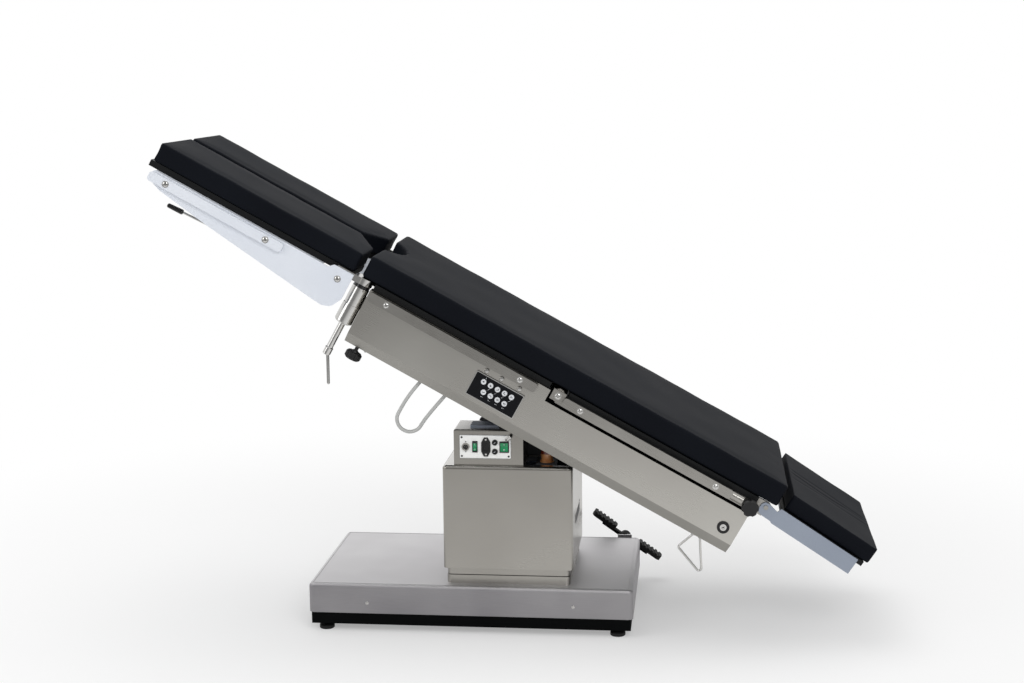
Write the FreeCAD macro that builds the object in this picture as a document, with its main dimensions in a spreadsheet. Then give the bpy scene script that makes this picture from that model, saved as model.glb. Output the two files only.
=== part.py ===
import FreeCAD, Part
import math
import os
import re
import Sketcher

# Operating table, drawn head-down as it is used for Trendelenburg positioning.
# +X runs along the table towards the head end, +Y from the control side to the far side, +Z is up.
# The document's zero is on the floor, under the middle of the table's whole length. The base is
# drawn about its own centre, base_x from there. Everything on the tabletop is drawn level, with
# u = 0 at the leg end of the seat pad and n = 0 on the top of the pads, and is then tilted about
# the trunnion by its Placement.

os.makedirs("parts", exist_ok=True)
doc = FreeCAD.newDocument("operating_table")
Vector = FreeCAD.Vector

# Driving dimensions, in millimetres and degrees. A value that starts with = follows other sizes.
sizes = {
    # base
    "base_x": -119.4, "floor_gap": 20, "base_length": 858, "base_width": 516, "base_top": 130,
    "base_skirt": 52,
    "base_wall": 2, "base_corner": 14, "base_edge": 9, "base_groove": 3, "base_groove_inset": 10,
    "plinth_inset": 6, "plinth_rail": 40, "plinth_top": 60,
    "foot_x": 388, "foot_y": 225, "foot_radius": 20,
    # telescopic column
    "column_x": 100, "cover_length": 342, "cover_front": 228, "cover_back": 136, "cover_bottom": 172,
    "cover_drop": 142, "cover_top": "=pivot_height - cover_drop", "cover_wall": 2, "cover_corner": 12,
    "cover_edge": 9,
    "middle_inset": 9, "middle_bottom": 154, "middle_top": "=cover_top - 24",
    "lower_inset": 18, "lower_top": "=cover_top - 68", "step_inset": 8, "step_top": 152,
    "outer_guide": 160, "middle_guide": 140, "inner_guide": 124, "guide_wall": 8,
    "outer_guide_top": "=cover_top - 38", "middle_guide_top": "=cover_top - 18", "guide_floor": 64,
    "middle_collar": 8, "flange_thick": 12, "flange_length": 230, "flange_width": 200,
    # head of the column
    "housing_left": 141, "housing_length": 182, "housing_front": 214, "housing_back": 92,
    "housing_drop": 48, "housing_top": "=pivot_height - housing_drop", "housing_wall": 2,
    "yoke_length": 180, "yoke_half": 78, "cheek": 16, "yoke_drop": 82, "yoke_top": "=pivot_height - yoke_drop",
    "pivot_height": 590, "cheek_radius": 24, "trunnion_radius": 15, "run": 0.05,
    "motor_x": 98, "motor_y": 150, "motor_radius": 15.5, "motor_body": 18, "motor_cap": 22,
    # connection panel
    "panel_x": 58, "panel_drop": 44.5, "panel_z": "=housing_top - panel_drop", "panel_length": 134,
    "panel_height": 61, "panel_thick": 3,
    "rocker_gap": 0.6, "power_x": 92, "power_width": 24, "power_height": 29,
    "breaker_x": 15, "breaker_width": 13, "breaker_height": 29, "rocker_proud": 4,
    "inlet_x": 44, "inlet_width": 24, "inlet_height": 50, "fuse_x": 67.5, "fuse_z": 12, "fuse_radius": 7.6,
    "socket_x": 9, "socket_radius": 10,
    # tilting cross
    "tilt": 29, "pivot_u": 496, "pivot_n": -199,
    "cross_length": 68, "cross_width": 120, "cross_height": 48, "roll_radius": 16,
    "hanger_near": 75, "hanger_thick": 20, "hanger_radius": 26, "roll_motor_radius": 24,
    "roll_motor_length": 82,
    # tabletop frame and covers
    "pad_width": 536, "pad_thick": 62, "board_thick": 16, "seat_length": 1216,
    "frame_start": 44, "frame_end": 1150, "frame_top": 108, "frame_depth": 40, "frame_half": 245,
    "frame_tube": 40, "frame_wall": 4, "member": 40,
    "side_half": 275, "side_start": 40, "side_end": 1160, "side_top": 79, "side_bevel": 205,
    "side_bottom": 231, "side_bevel_in": 14, "side_return": 14, "side_wall": 2,
    "notch_start": 566, "notch_top": 111,
    "rail_height": 25, "rail_thick": 10, "rail_gap": 8, "rail_round": 8,
    "seat_rail_start": 45, "seat_rail_end": 532, "seat_rail_top": 79,
    "back_rail_start": 607, "back_rail_end": 1096, "back_rail_top": 74,
    # body cut-out of the seat
    "cutout_half": 95, "cutout_depth": 49,
    # back section
    "back_u": 590, "back_n": 83, "drive_y": 104, "fold_angle": 38.5, "fold_gap": 0.4,
    "seat_board_end": 560, "back_board_start": 613, "back_shaft_radius": 13, "lug_radius": 20, "lug_thick": 16,
    "back_bar_out": 268, "back_bar_in": 252, "back_bar_depth": 26,
    "hinge_block_length": 36, "hinge_block_height": 29, "hinge_block_out": 280,
    # head section
    "head_u": 1190, "head_n": 77, "head_drop": 4.5, "head_pin_radius": 6,
    "head_pad_start": 43, "head_pad_end": 300, "head_pad_top": 66, "head_pad_bottom": 19,
    "head_pad_width": 496,
    "head_board_thick": 13, "head_plate_out": 262, "head_plate_thick": 4,
    "head_knob_u": 1151, "head_knob_n": 91,
    # leg sections
    "leg_end": "=leg_rail_end + 15", "leg_start": 17, "leg_gap": 24, "leg_top": 8, "leg_bottom": 60,
    "leg_chamfer_u": 60, "leg_chamfer_y": 105, "leg_board_start": 20, "leg_board_end": "=leg_rail_end + 19",
    "leg_board_half": 261,
    "pitch_u": 47, "pitch_n": 95, "pitch_radius": 7,
    "gusset_out": 281, "gusset_thick": 4, "leg_rail_start": 207, "leg_rail_end": 597, "leg_rail_top": 82,
    "release_u": 400, "release_n": 118, "wire_radius": 3, "grip_radius": 7, "grip_length": 44,
    # leg turning joint
    "barrel_u": 13, "barrel_y": 248, "barrel_radius": 23, "barrel_top": 80.3, "collar_depth": 10,
    "ring_top": 140, "ring_bottom": 190, "ring_radius": 24.5, "spigot_radius": 12, "spigot_depth": 52,
    "spindle_radius": 9, "spindle_bottom": 268, "fork_bottom": 290, "bar_pivot": 281,
    "bar_radius": 4, "bar_length": 84, "knuckle_radius": 24, "arm_out": 276.5, "arm_thick": 8,
    # clamp knobs
    "knob_u": 77, "knob_y": 250, "knob_radius": 22, "knob_thick": 20, "knob_stem": 15.7, "stem_radius": 5,
    "scallop": 6, "knob_lobes": 6,
    # keypad
    "keypad_u": 447, "keypad_n": 159.5, "keypad_length": 137, "keypad_height": 67, "keypad_thick": 5,
    "button_radius": 7, "button_gap": 0.3, "button_proud": 1.5, "button_pitch": 20.3, "button_row": 25.5,
    # key socket and hook
    "key_u": 1120, "key_n": 173, "key_radius": 16, "key_core": 9, "key_thick": 4, "hook_y": 252,
    "hook_radius": 3,
    # control cable
    "cord_radius": 4.75, "gland_radius": 9, "gland_length": 22, "gland_y": 230,
    # brake pedal
    "pedal_x": 385, "pedal_z": 122, "pedal_y": "=base_width/2 + 8", "hub_radius": 16, "hub_length": 36,
    "pedal_pin": 7,
    "pedal_slope": 35, "pedal_reach": 39, "pedal_pad_length": 78, "pedal_pad_width": 42, "pedal_pad_thick": 14,
    "pedal_pad_round": 13,
    "pedal_arm_thick": 8, "rib_pitch": 13, "rib_width": 6, "rib_depth": 3,
}
sheet = doc.addObject("Spreadsheet::Sheet", "Dims")
for row, alias in enumerate(sizes, start=1):
    sheet.set(f"A{row}", alias)
    sheet.setAlias(f"B{row}", alias)
for row, value in enumerate(sizes.values(), start=1):
    sheet.set(f"B{row}", str(value))
doc.recompute()

parts = []
frames = {
    "floor": ("base_x", "0", "0"),
    "column": ("base_x + column_x", "0", "0"),
    "table": ("base_x + column_x - pivot_u*cos(tilt) - pivot_n*sin(tilt)",
              "pivot_height + pivot_u*sin(tilt) - pivot_n*cos(tilt)", "tilt"),
    "pivot": ("base_x + column_x", "pivot_height", "tilt"),
    "pedal": ("base_x + pedal_x", "pedal_z", "pedal_slope"),
}
tableX, tableZ, _ = frames["table"]
frames["head"] = (f"{tableX} + head_u*cos(tilt) - head_n*sin(tilt)",
                  f"{tableZ} - head_u*sin(tilt) - head_n*cos(tilt)", "tilt + head_drop")
frames["bar"] = (f"{tableX} + barrel_u*cos(tilt) - bar_pivot*sin(tilt)",
                 f"{tableZ} - barrel_u*sin(tilt) - bar_pivot*cos(tilt)", "0")
sides = {"near": -1, "far": 1}


def size(alias):
    return float(sheet.get(alias))


def bound(text):
    # a formula in the sheet's words, as an expression
    return re.sub(r"[a-z][a-z_]*", lambda word: "Dims." + word[0] if word[0] in sizes else word[0], str(text))


def bind(thing, **properties):
    for name, text in properties.items():
        thing.setExpression(name.replace("_", "."), bound(text))


def place(thing, frame):
    x, z, angle = frames[frame]
    thing.Placement = FreeCAD.Placement(Vector(), FreeCAD.Rotation(Vector(0, 1, 0), 10))
    bind(thing, Placement_Base_x=x, Placement_Base_z=z, Placement_Rotation_Angle=angle)


def part(thing, label, frame):
    # names a finished piece and sets it in its frame
    thing.Label = label
    place(thing, frame)
    parts.append(thing)
    return thing


# Part primitives, drawn in the frame of the piece they belong to

turns = {"x": FreeCAD.Rotation(Vector(0, 1, 0), 90), "y": FreeCAD.Rotation(Vector(1, 0, 0), -90),
         "z": FreeCAD.Rotation()}


def seat(thing, x, y, z, rotation):
    thing.Placement = FreeCAD.Placement(Vector(), rotation)
    bind(thing, Placement_Base_x=x, Placement_Base_y=y, Placement_Base_z=z)
    return thing


def box(x, y, z, length, width, height):
    solid = doc.addObject("Part::Box", "box")
    bind(solid, Length=length, Width=width, Height=height)
    return seat(solid, x, y, z, turns["z"])


def rod(axis, x, y, z, radius, length):
    solid = doc.addObject("Part::Cylinder", "rod")
    bind(solid, Radius=radius, Height=length)
    return seat(solid, x, y, z, turns[axis])


def ball(x, y, z, radius):
    solid = doc.addObject("Part::Sphere", "ball")
    bind(solid, Radius=radius)
    return seat(solid, x, y, z, turns["z"])


def join(*solids):
    whole = doc.addObject("Part::MultiFuse", "joined")
    whole.Shapes = list(solids)
    return whole


def cut(base, *tools):
    whole = doc.addObject("Part::Cut", "cut")
    whole.Base = base
    whole.Tool = tools[0] if len(tools) == 1 else join(*tools)
    return whole


def group(*solids):
    whole = doc.addObject("Part::Compound", "group")
    whole.Links = list(solids)
    return whole


# Part Design bodies. Sketches lie on the body's own origin planes: their two coordinates are
# (x, y), (x, z) or (y, z), and the offset and the length run along the third axis.

planes = {"z": "XY_Plane", "y": "XZ_Plane", "x": "YZ_Plane"}


def newBody():
    return doc.addObject("PartDesign::Body", "body")


def sketchOn(body, axis, offset):
    sketch = body.newObject("Sketcher::SketchObject", "sketch")
    plane = [item for item in body.Origin.OriginFeatures if item.Role == planes[axis]][0]
    sketch.AttachmentSupport = [(plane, "")]
    sketch.MapMode = "FlatFace"
    sign = "-1" if axis == "y" else "1"
    bind(sketch, AttachmentOffset_Base_z=f"{sign}*({offset})")
    return sketch


def pin(sketch, kind, item, point, value, text):
    index = sketch.addConstraint(Sketcher.Constraint(kind, -1, 1, item, point, value))
    sketch.setExpression(f"Constraints[{index}]", bound(text))


def outline(sketch, points):
    # closed polygon whose corners are tied to the sheet
    first = sketch.GeometryCount
    count = len(points)
    start = [Vector(10 * math.cos(math.tau * i / count), 10 * math.sin(math.tau * i / count), 0)
             for i in range(count)]
    for i in range(count):
        sketch.addGeometry(Part.LineSegment(start[i], start[(i + 1) % count]))
    for i in range(count):
        sketch.addConstraint(Sketcher.Constraint("Coincident", first + i, 2, first + (i + 1) % count, 1))
    for i, (x, y) in enumerate(points):
        pin(sketch, "DistanceX", first + i, 1, start[i].x, x)
        pin(sketch, "DistanceY", first + i, 1, start[i].y, y)


def rectangle(sketch, x, y, width, height):
    # rectangle about a centre
    left, right = f"({x}) - ({width})/2", f"({x}) + ({width})/2"
    low, high = f"({y}) - ({height})/2", f"({y}) + ({height})/2"
    outline(sketch, [(left, low), (right, low), (right, high), (left, high)])


def ring(sketch, x, y, radius):
    item = sketch.addGeometry(Part.Circle(Vector(1, 1, 0), Vector(0, 0, 1), 5))
    pin(sketch, "DistanceX", item, 3, 1, x)
    pin(sketch, "DistanceY", item, 3, 1, y)
    index = sketch.addConstraint(Sketcher.Constraint("Radius", item, 5))
    sketch.setExpression(f"Constraints[{index}]", bound(radius))


def grow(body, sketch, axis, length):
    pad = body.newObject("PartDesign::Pad", "pad")
    pad.Profile = sketch
    pad.Reversed = axis == "y"
    bind(pad, Length=length)
    return pad


def carve(body, sketch, axis, length):
    doc.recompute()
    before = body.Shape.Volume
    pocket = body.newObject("PartDesign::Pocket", "pocket")
    pocket.Profile = sketch
    pocket.Reversed = axis != "y"
    bind(pocket, Length=length)
    doc.recompute()
    if body.Shape.Volume > before - 1:
        raise RuntimeError("a pocket cut nothing in " + body.Name)
    return pocket


def prism(axis, offset, length, points):
    body = newBody()
    sketch = sketchOn(body, axis, offset)
    outline(sketch, points)
    grow(body, sketch, axis, length)
    return body


def slab(axis, offset, length, x, y, width, height):
    body = newBody()
    sketch = sketchOn(body, axis, offset)
    rectangle(sketch, x, y, width, height)
    grow(body, sketch, axis, length)
    return body


def pierce(body, axis, offset, length, *circles):
    # round holes, each (x, y, radius)
    sketch = sketchOn(body, axis, offset)
    for x, y, radius in circles:
        ring(sketch, x, y, radius)
    return carve(body, sketch, axis, length)


def openUp(body, axis, offset, length, x, y, width, height):
    # rectangular hole
    sketch = sketchOn(body, axis, offset)
    rectangle(sketch, x, y, width, height)
    return carve(body, sketch, axis, length)


def soften(body, radius, wanted):
    # rounds the edges that the test picks, by the edge's middle and direction
    doc.recompute()
    base = body.Tip
    names = []
    for index, edge in enumerate(base.Shape.Edges, start=1):
        if edge.Curve.TypeId != "Part::GeomLine":
            continue
        middle = edge.valueAt((edge.FirstParameter + edge.LastParameter) / 2)
        along = edge.tangentAt(edge.FirstParameter)
        if wanted(middle, along):
            names.append(f"Edge{index}")
    if not names:
        raise RuntimeError("no edge to round in " + body.Name)
    fillet = body.newObject("PartDesign::Fillet", "fillet")
    fillet.Base = (base, names)
    bind(fillet, Radius=radius)
    return fillet


def upright(middle, along):
    return abs(along.z) > 0.99


def turned(points, x, y, z):
    # solid of revolution about Z from (radius, height) points
    body = newBody()
    sketch = sketchOn(body, "y", "0")
    outline(sketch, points)
    spin = body.newObject("PartDesign::Revolution", "spin")
    spin.Profile = sketch
    spin.ReferenceAxis = (sketch, ["V_Axis"])
    spin.Angle = 360
    bind(body, Placement_Base_x=x, Placement_Base_y=y, Placement_Base_z=z)
    return body


def tube(points, radius, bends):
    # round wire or cord: straight runs joined by tangent arcs, one bend radius at each inner point
    corners = [Vector(*point) for point in points]
    edges = []
    here = corners[0]
    for i in range(1, len(corners) - 1):
        back = (corners[i - 1] - corners[i]).normalize()
        ahead = (corners[i + 1] - corners[i]).normalize()
        half = (math.pi - back.getAngle(ahead)) / 2
        reach = bends[i - 1] * math.tan(half)
        enter = corners[i] + back * reach
        leave = corners[i] + ahead * reach
        inward = (back + ahead).normalize()
        middle = corners[i] + inward * (bends[i - 1] / math.cos(half) - bends[i - 1])
        edges.append(Part.LineSegment(here, enter).toShape())
        edges.append(Part.Arc(enter, middle, leave).toShape())
        here = leave
    edges.append(Part.LineSegment(here, corners[-1]).toShape())
    path = Part.Wire(edges)
    section = Part.Wire([Part.Circle(corners[0], corners[1] - corners[0], radius).toShape()])
    solid = path.makePipeShell([section], True, False)
    expected = math.pi * radius ** 2 * path.Length
    if abs(solid.Volume / expected - 1) > 0.01:
        raise RuntimeError("a tube's volume doesn't match its length")
    return solid, path.Length


def roundedBlock(low, high, y, width, depth, corner, edge):
    # upright block with rounded corners, and a rounded top where an edge radius is given
    block = slab("z", low, f"({high}) - ({low})", "0", y, width, depth)
    soften(block, corner, upright)
    if edge:
        top = block.Shape.BoundBox.ZMax
        soften(block, edge, lambda m, a: abs(m.z - top) < 0.01 and abs(a.z) < 0.01)
    return block


def lid(low, high, y, width, depth, corner, edge, wall):
    # sheet-metal cover, open below
    outer = roundedBlock(low, high, y, width, depth, corner, edge)
    inner = roundedBlock(f"({low}) - 5", f"({high}) - {wall}", y, f"({width}) - 2*{wall}",
                         f"({depth}) - 2*{wall}",
                         f"{corner} - {wall}", f"{edge} - {wall}")
    return cut(outer, inner)


# Base: folded cover on a black frame, standing on four levelling feet

baseLid = lid("base_skirt", "base_top", "0", "base_length", "base_width", "base_corner", "base_edge",
              "base_wall")
groove = newBody()
grooveSketch = sketchOn(groove, "z", "base_top - base_groove/3")
for inset in ("base_groove_inset", "base_groove_inset + base_groove"):
    rectangle(grooveSketch, "0", "0", f"base_length - 2*({inset})", f"base_width - 2*({inset})")
grow(groove, grooveSketch, "z", "base_groove")
columnHole = box("column_x - outer_guide/2 - 10", "-outer_guide/2 - 10", "base_top - base_wall - 1",
                 "outer_guide + 20", "outer_guide + 20", "base_wall + 2")
baseCover = cut(baseLid, groove, columnHole)
bracket = box("pedal_x - 20", "base_width/2", "base_skirt + 8", "40", "6", "pedal_z + 14 - base_skirt - 8")
pedalPin = rod("y", "pedal_x", "base_width/2 + 6", "pedal_z", "pedal_pin", "hub_length + 4")
part(join(baseCover, bracket, pedalPin), "base_cover", "floor")

plinth = slab("z", "floor_gap", "plinth_top - floor_gap", "0", "0",
              "base_length - 2*plinth_inset", "base_width - 2*plinth_inset")
for side in (-1, 1):
    inner = "base_length/2 - plinth_inset - plinth_rail"
    edge = "column_x - outer_guide/2 - plinth_rail"
    far = "column_x + outer_guide/2 + plinth_rail"
    for low, high in ((f"-({inner})", edge), (far, inner)):
        middle = f"(({low}) + ({high}))/2"
        bay = "(base_width - 2*plinth_inset - 3*plinth_rail)/2"
        openUp(plinth, "z", "floor_gap + 4", "plinth_top - floor_gap", middle,
                f"{side}*({bay} + plinth_rail)/2", f"({high}) - ({low})", bay)
posts = [box(f"{a}*(base_length/2 - 60) - 15", f"{b}*(base_width/2 - 50) - 15", "plinth_top - 1",
             "30", "30", "base_top - base_wall - plinth_top + 1") for a in (-1, 1) for b in (-1, 1)]
guide = cut(box("column_x - outer_guide/2", "-outer_guide/2", "plinth_top - 1",
                "outer_guide", "outer_guide", "outer_guide_top - plinth_top + 1"),
            box("column_x - outer_guide/2 + guide_wall", "-outer_guide/2 + guide_wall", "plinth_top",
                "outer_guide - 2*guide_wall", "outer_guide - 2*guide_wall",
                "outer_guide_top - plinth_top + 1"))
part(join(plinth, guide, *posts), "base_frame", "floor")

feet = [turned([("0", "0"), ("foot_radius - 2", "0"), ("foot_radius", "2"), ("foot_radius", "9"),
                ("foot_radius - 5", "12"), ("8", "12"), ("8", "floor_gap"), ("0", "floor_gap")],
               f"{a}*foot_x", f"{b}*foot_y", "0") for a in (-1, 1) for b in (-1, 1)]
part(group(*feet), "levelling_feet", "floor")


coverMiddle = "(cover_back - cover_front)/2"


def sleeve(inset, low, high):
    # rectangular sleeve of the column cover, open at both ends
    width = f"cover_length - 2*({inset})"
    depth = f"cover_front + cover_back - 2*({inset})"
    outer = roundedBlock(low, high, coverMiddle, width, depth, "cover_corner", "")
    inner = roundedBlock(f"{low} - 1", f"{high} + 1", coverMiddle, f"{width} - 2*cover_wall",
                         f"{depth} - 2*cover_wall",
                         "cover_corner - cover_wall", "")
    return cut(outer, inner)


step = cut(roundedBlock("base_top", "step_top", coverMiddle, "cover_length - 2*step_inset",
                        "cover_front + cover_back - 2*step_inset", "cover_corner", ""),
           roundedBlock("base_top - 1", "step_top + 1", coverMiddle,
                        "cover_length - 2*lower_inset - 2*cover_wall",
                        "cover_front + cover_back - 2*lower_inset - 2*cover_wall", "cover_corner - cover_wall",
                        ""))
part(join(sleeve("lower_inset", "base_top", "lower_top"), step), "lower_sleeve", "column")
part(sleeve("middle_inset", "middle_bottom", "middle_top"), "middle_sleeve", "column")


def squareTube(outer, low, high, glide):
    # square guide tube with a glide band round its lower end
    band = f"{outer}/2 + {glide} - run"
    return cut(join(box(f"-({outer})/2", f"-({outer})/2", low, outer, outer, f"({high}) - ({low})"),
                    box(f"-({band})", f"-({band})", f"({low}) + 2", f"2*({band})", f"2*({band})", "30")),
               box(f"-({outer})/2 + guide_wall - 1", f"-({outer})/2 + guide_wall - 1", f"({low}) - 1",
                   f"({outer}) - 2*guide_wall + 2", f"({outer}) - 2*guide_wall + 2",
                   f"({high}) - ({low}) + 2"))


collar = slab("z", "middle_top - middle_collar", "middle_collar", "0", coverMiddle,
              "cover_length - 2*middle_inset - 2*cover_wall",
              "cover_front + cover_back - 2*middle_inset - 2*cover_wall")
soften(collar, "cover_corner - cover_wall", upright)
openUp(collar, "z", "middle_top - middle_collar - 1", "middle_collar + 2", "0", "0",
        "middle_guide - 2*guide_wall + 2", "middle_guide - 2*guide_wall + 2")
part(join(squareTube("middle_guide", "guide_floor", "middle_guide_top", "2"), collar), "middle_guide",
     "column")

# Brake pedal behind the base: a rocking arm with two ribbed rubber pads

hub = cut(rod("y", "0", "0", "0", "hub_radius", "hub_length"),
          rod("y", "0", "-1", "0", "pedal_pin + run", "hub_length + 2"))
arms = [box(f"{low}", "9", "-pedal_arm_thick/2", f"pedal_reach + pedal_pad_length/2 - hub_radius + 3",
            "hub_length - 12", "pedal_arm_thick")
        for low in ("hub_radius - 3", "-(pedal_reach + pedal_pad_length/2)")]
pedalArm = part(join(hub, *arms), "pedal_arm", "pedal")
bind(pedalArm, Placement_Base_y="pedal_y")

pads = []
for side in (-1, 1):
    middle = f"{side}*(pedal_reach + pedal_pad_length/2)"
    pad = slab("y", "-4", "pedal_pad_width", middle, "pedal_arm_thick/2 + pedal_pad_thick/2",
               "pedal_pad_length", "pedal_pad_thick")
    soften(pad, "pedal_pad_round", upright)
    ribs = sketchOn(pad, "y", "-5")
    for step in range(-2, 3):
        rectangle(ribs, f"{middle} + {step}*rib_pitch", "pedal_arm_thick/2 + pedal_pad_thick",
                  "rib_width", "2*rib_depth")
    carve(pad, ribs, "y", "pedal_pad_width + 2")
    pads.append(pad)
pedalPads = part(group(*pads), "pedal_pads", "pedal")
bind(pedalPads, Placement_Base_y="pedal_y")

# Head of the column: outer cover, electrics housing, and the casting that carries the tabletop

columnLid = lid("cover_bottom", "cover_top", coverMiddle, "cover_length", "cover_front + cover_back",
                "cover_corner", "cover_edge", "cover_wall")
yokeHole = box("-yoke_length/2 - 8", "-yoke_half - 4", "cover_top - cover_wall - 1", "yoke_length + 16",
               "2*yoke_half + 8", "cover_wall + 2")
motorHole = box("motor_x - 53", "-motor_y - 54", "cover_top - cover_wall - 1", "110", "112", "cover_wall + 2")
part(cut(columnLid, yokeHole, motorHole), "column_cover", "column")

housingMiddle = "-housing_left + housing_length/2"
housing = slab("z", "cover_top", "housing_top - cover_top", housingMiddle, "-(housing_front + housing_back)/2",
               "housing_length", "housing_front - housing_back")
soften(housing, "4", lambda m, a: abs(m.z - size("housing_top")) < 0.01 and abs(a.z) < 0.01)
openUp(housing, "z", "cover_top - 1", "housing_top - cover_top - housing_wall + 1", housingMiddle,
        "-(housing_front + housing_back)/2", "housing_length - 2*housing_wall",
        "housing_front - housing_back - 2*housing_wall")
rockers = {"power": ("power_x", "power_width", "power_height"),
           "breaker": ("breaker_x", "breaker_width", "breaker_height")}
for x, width, height in rockers.values():
    openUp(housing, "y", "-housing_front - 1", "housing_wall + 2", f"{x} - column_x", "panel_z",
            f"{width} + 4", f"{height} + 4")
part(housing, "head_housing", "column")

panel = slab("y", "-housing_front - panel_thick", "panel_thick", "panel_x - column_x - 16", "panel_z",
             "panel_length", "panel_height")
soften(panel, "2", lambda m, a: abs(a.y) > 0.99)
for x, width, height in rockers.values():
    openUp(panel, "y", "-housing_front - panel_thick - 1", "panel_thick + 2", f"{x} - column_x", "panel_z",
            f"{width} + 2*rocker_gap", f"{height} + 2*rocker_gap")
part(panel, "panel_plate", "column")

front = "-housing_front - panel_thick"
inletX = "inlet_x - column_x"
inlet = prism("y", f"{front} - 3", "3", [
    (f"{inletX} - inlet_width/2", "panel_z - inlet_height/4"), (f"{inletX} - 5", "panel_z - inlet_height/2"),
    (f"{inletX} + 5", "panel_z - inlet_height/2"), (f"{inletX} + inlet_width/2", "panel_z - inlet_height/4"),
    (f"{inletX} + inlet_width/2", "panel_z + inlet_height/4"), (f"{inletX} + 5", "panel_z + inlet_height/2"),
    (f"{inletX} - 5", "panel_z + inlet_height/2"), (f"{inletX} - inlet_width/2", "panel_z + inlet_height/4")])
openUp(inlet, "y", f"{front} - 4", "3.5", inletX, "panel_z", "inlet_width - 8", "inlet_height/2 - 2")
blades = [box(f"{inletX} + {x} - 1", f"{front} - 2.5", f"panel_z + {z} - 2.5", "2", "2.1", "5")
          for x, z in ((0, 5), (-4, -4), (4, -4))]
fuses = [join(rod("y", "fuse_x - column_x", f"{front} - 3", f"panel_z + {side}*fuse_z", "fuse_radius", "3"),
              rod("y", "fuse_x - column_x", f"{front} - 7", f"panel_z + {side}*fuse_z", "fuse_radius - 2",
                  "5"))
         for side in (-1, 1)]
handset = cut(rod("y", "-socket_x - column_x", f"{front} - 5", "panel_z", "socket_radius", "5"),
              rod("y", "-socket_x - column_x", f"{front} - 6", "panel_z", "socket_radius - 3", "5"))
part(group(inlet, *blades, *fuses, handset), "panel_sockets", "column")

for name, (x, width, height) in rockers.items():
    rocker = prism("x", f"-({width})/2", width, [
        ("4", "-2.5"), ("4", "2.5"), ("-rocker_proud/2", f"({height})/2 - 1"),
        ("-rocker_proud - 1", f"({height})/2 - 1"), ("-rocker_proud/2", "0"),
        ("-rocker_proud", f"-({height})/2 + 1"), ("0", f"-({height})/2 + 1")])
    frames[name] = (f"base_x + {x}", "panel_z", "0")
    rocker = part(rocker, f"{name}_rocker", name)
    bind(rocker, Placement_Base_y=front)

innerTube = squareTube("inner_guide", "guide_floor + 4", "cover_top - cover_wall - flange_thick + 1", "1")
flange = box("-flange_length/2", "-flange_width/2", "cover_top - cover_wall - flange_thick",
             "flange_length", "flange_width", "flange_thick")
shelf = box("motor_x - 28", "-motor_y - 28", "cover_top - cover_wall - flange_thick", "56", "80",
            "flange_thick")
block = box("-yoke_length/2", "-yoke_half", "cover_top - cover_wall - 1", "yoke_length", "2*yoke_half",
            "yoke_top - cover_top + cover_wall + 1")
cheekShape = [("-yoke_length/2", "yoke_top - 2"), ("yoke_length/2", "yoke_top - 2"),
              ("yoke_length/2", "yoke_top + 6"), ("cheek_radius - 3", "pivot_height - 2"),
              ("-cheek_radius + 3", "pivot_height - 2"), ("-yoke_length/2 + 22", "pivot_height - 24"),
              ("-yoke_length/2", "housing_top")]
cheeks = [prism("y", start, "cheek", cheekShape) for start in ("-yoke_half", "yoke_half - cheek")]
cheekTops = [rod("y", "0", start, "pivot_height", "cheek_radius", "cheek")
             for start in ("-yoke_half", "yoke_half - cheek")]
well = box("-yoke_length/2 + 14", "-yoke_half + cheek + 8", "yoke_top - 30", "yoke_length - 28",
           "2*(yoke_half - cheek - 8)", "40")
part(cut(join(innerTube, flange, shelf, block, *cheeks, *cheekTops), well,
         rod("y", "0", "-yoke_half - 1", "pivot_height", "trunnion_radius + run", "2*yoke_half + 2")),
     "head_casting", "column")

motor = turned([("0", "0"), ("motor_radius + 4", "0"), ("motor_radius + 4", "3"), ("motor_radius", "3"),
                ("motor_radius", "motor_body"), ("motor_radius + 1.5", "motor_body"),
                ("motor_radius + 1.5", "motor_body + motor_cap - 4"),
                ("motor_radius - 2", "motor_body + motor_cap"),
                ("0", "motor_body + motor_cap")], "motor_x", "-motor_y", "cover_top - cover_wall")
part(group(motor), "tilt_motor", "column")

# Tilting cross: trunnions across the table, and the shaft along it that the tabletop rolls on

crossBlock = slab("x", "-cross_length/2", "cross_length", "0", "0", "cross_width", "cross_height")
soften(crossBlock, "8", lambda m, a: abs(a.x) > 0.99)
trunnion = rod("y", "0", "-yoke_half", "0", "trunnion_radius", "2*yoke_half")
shaft = rod("x", "-hanger_near - hanger_thick - 2", "0", "0", "roll_radius",
            "2*(hanger_near + hanger_thick + 2)")
part(join(crossBlock, trunnion, shaft), "tilt_cross", "pivot")
rollMotor = join(rod("x", "hanger_near + hanger_thick + 2", "0", "0", "roll_motor_radius",
                     "roll_motor_length - 14"),
                 rod("x", "hanger_near + hanger_thick + 2", "0", "0", "roll_motor_radius - 5",
                     "roll_motor_length"))
part(rollMotor, "roll_drive", "pivot")

# Tabletop frame: two long tubes, cross members, hangers for the roll shaft and lugs for the back hinge

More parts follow.
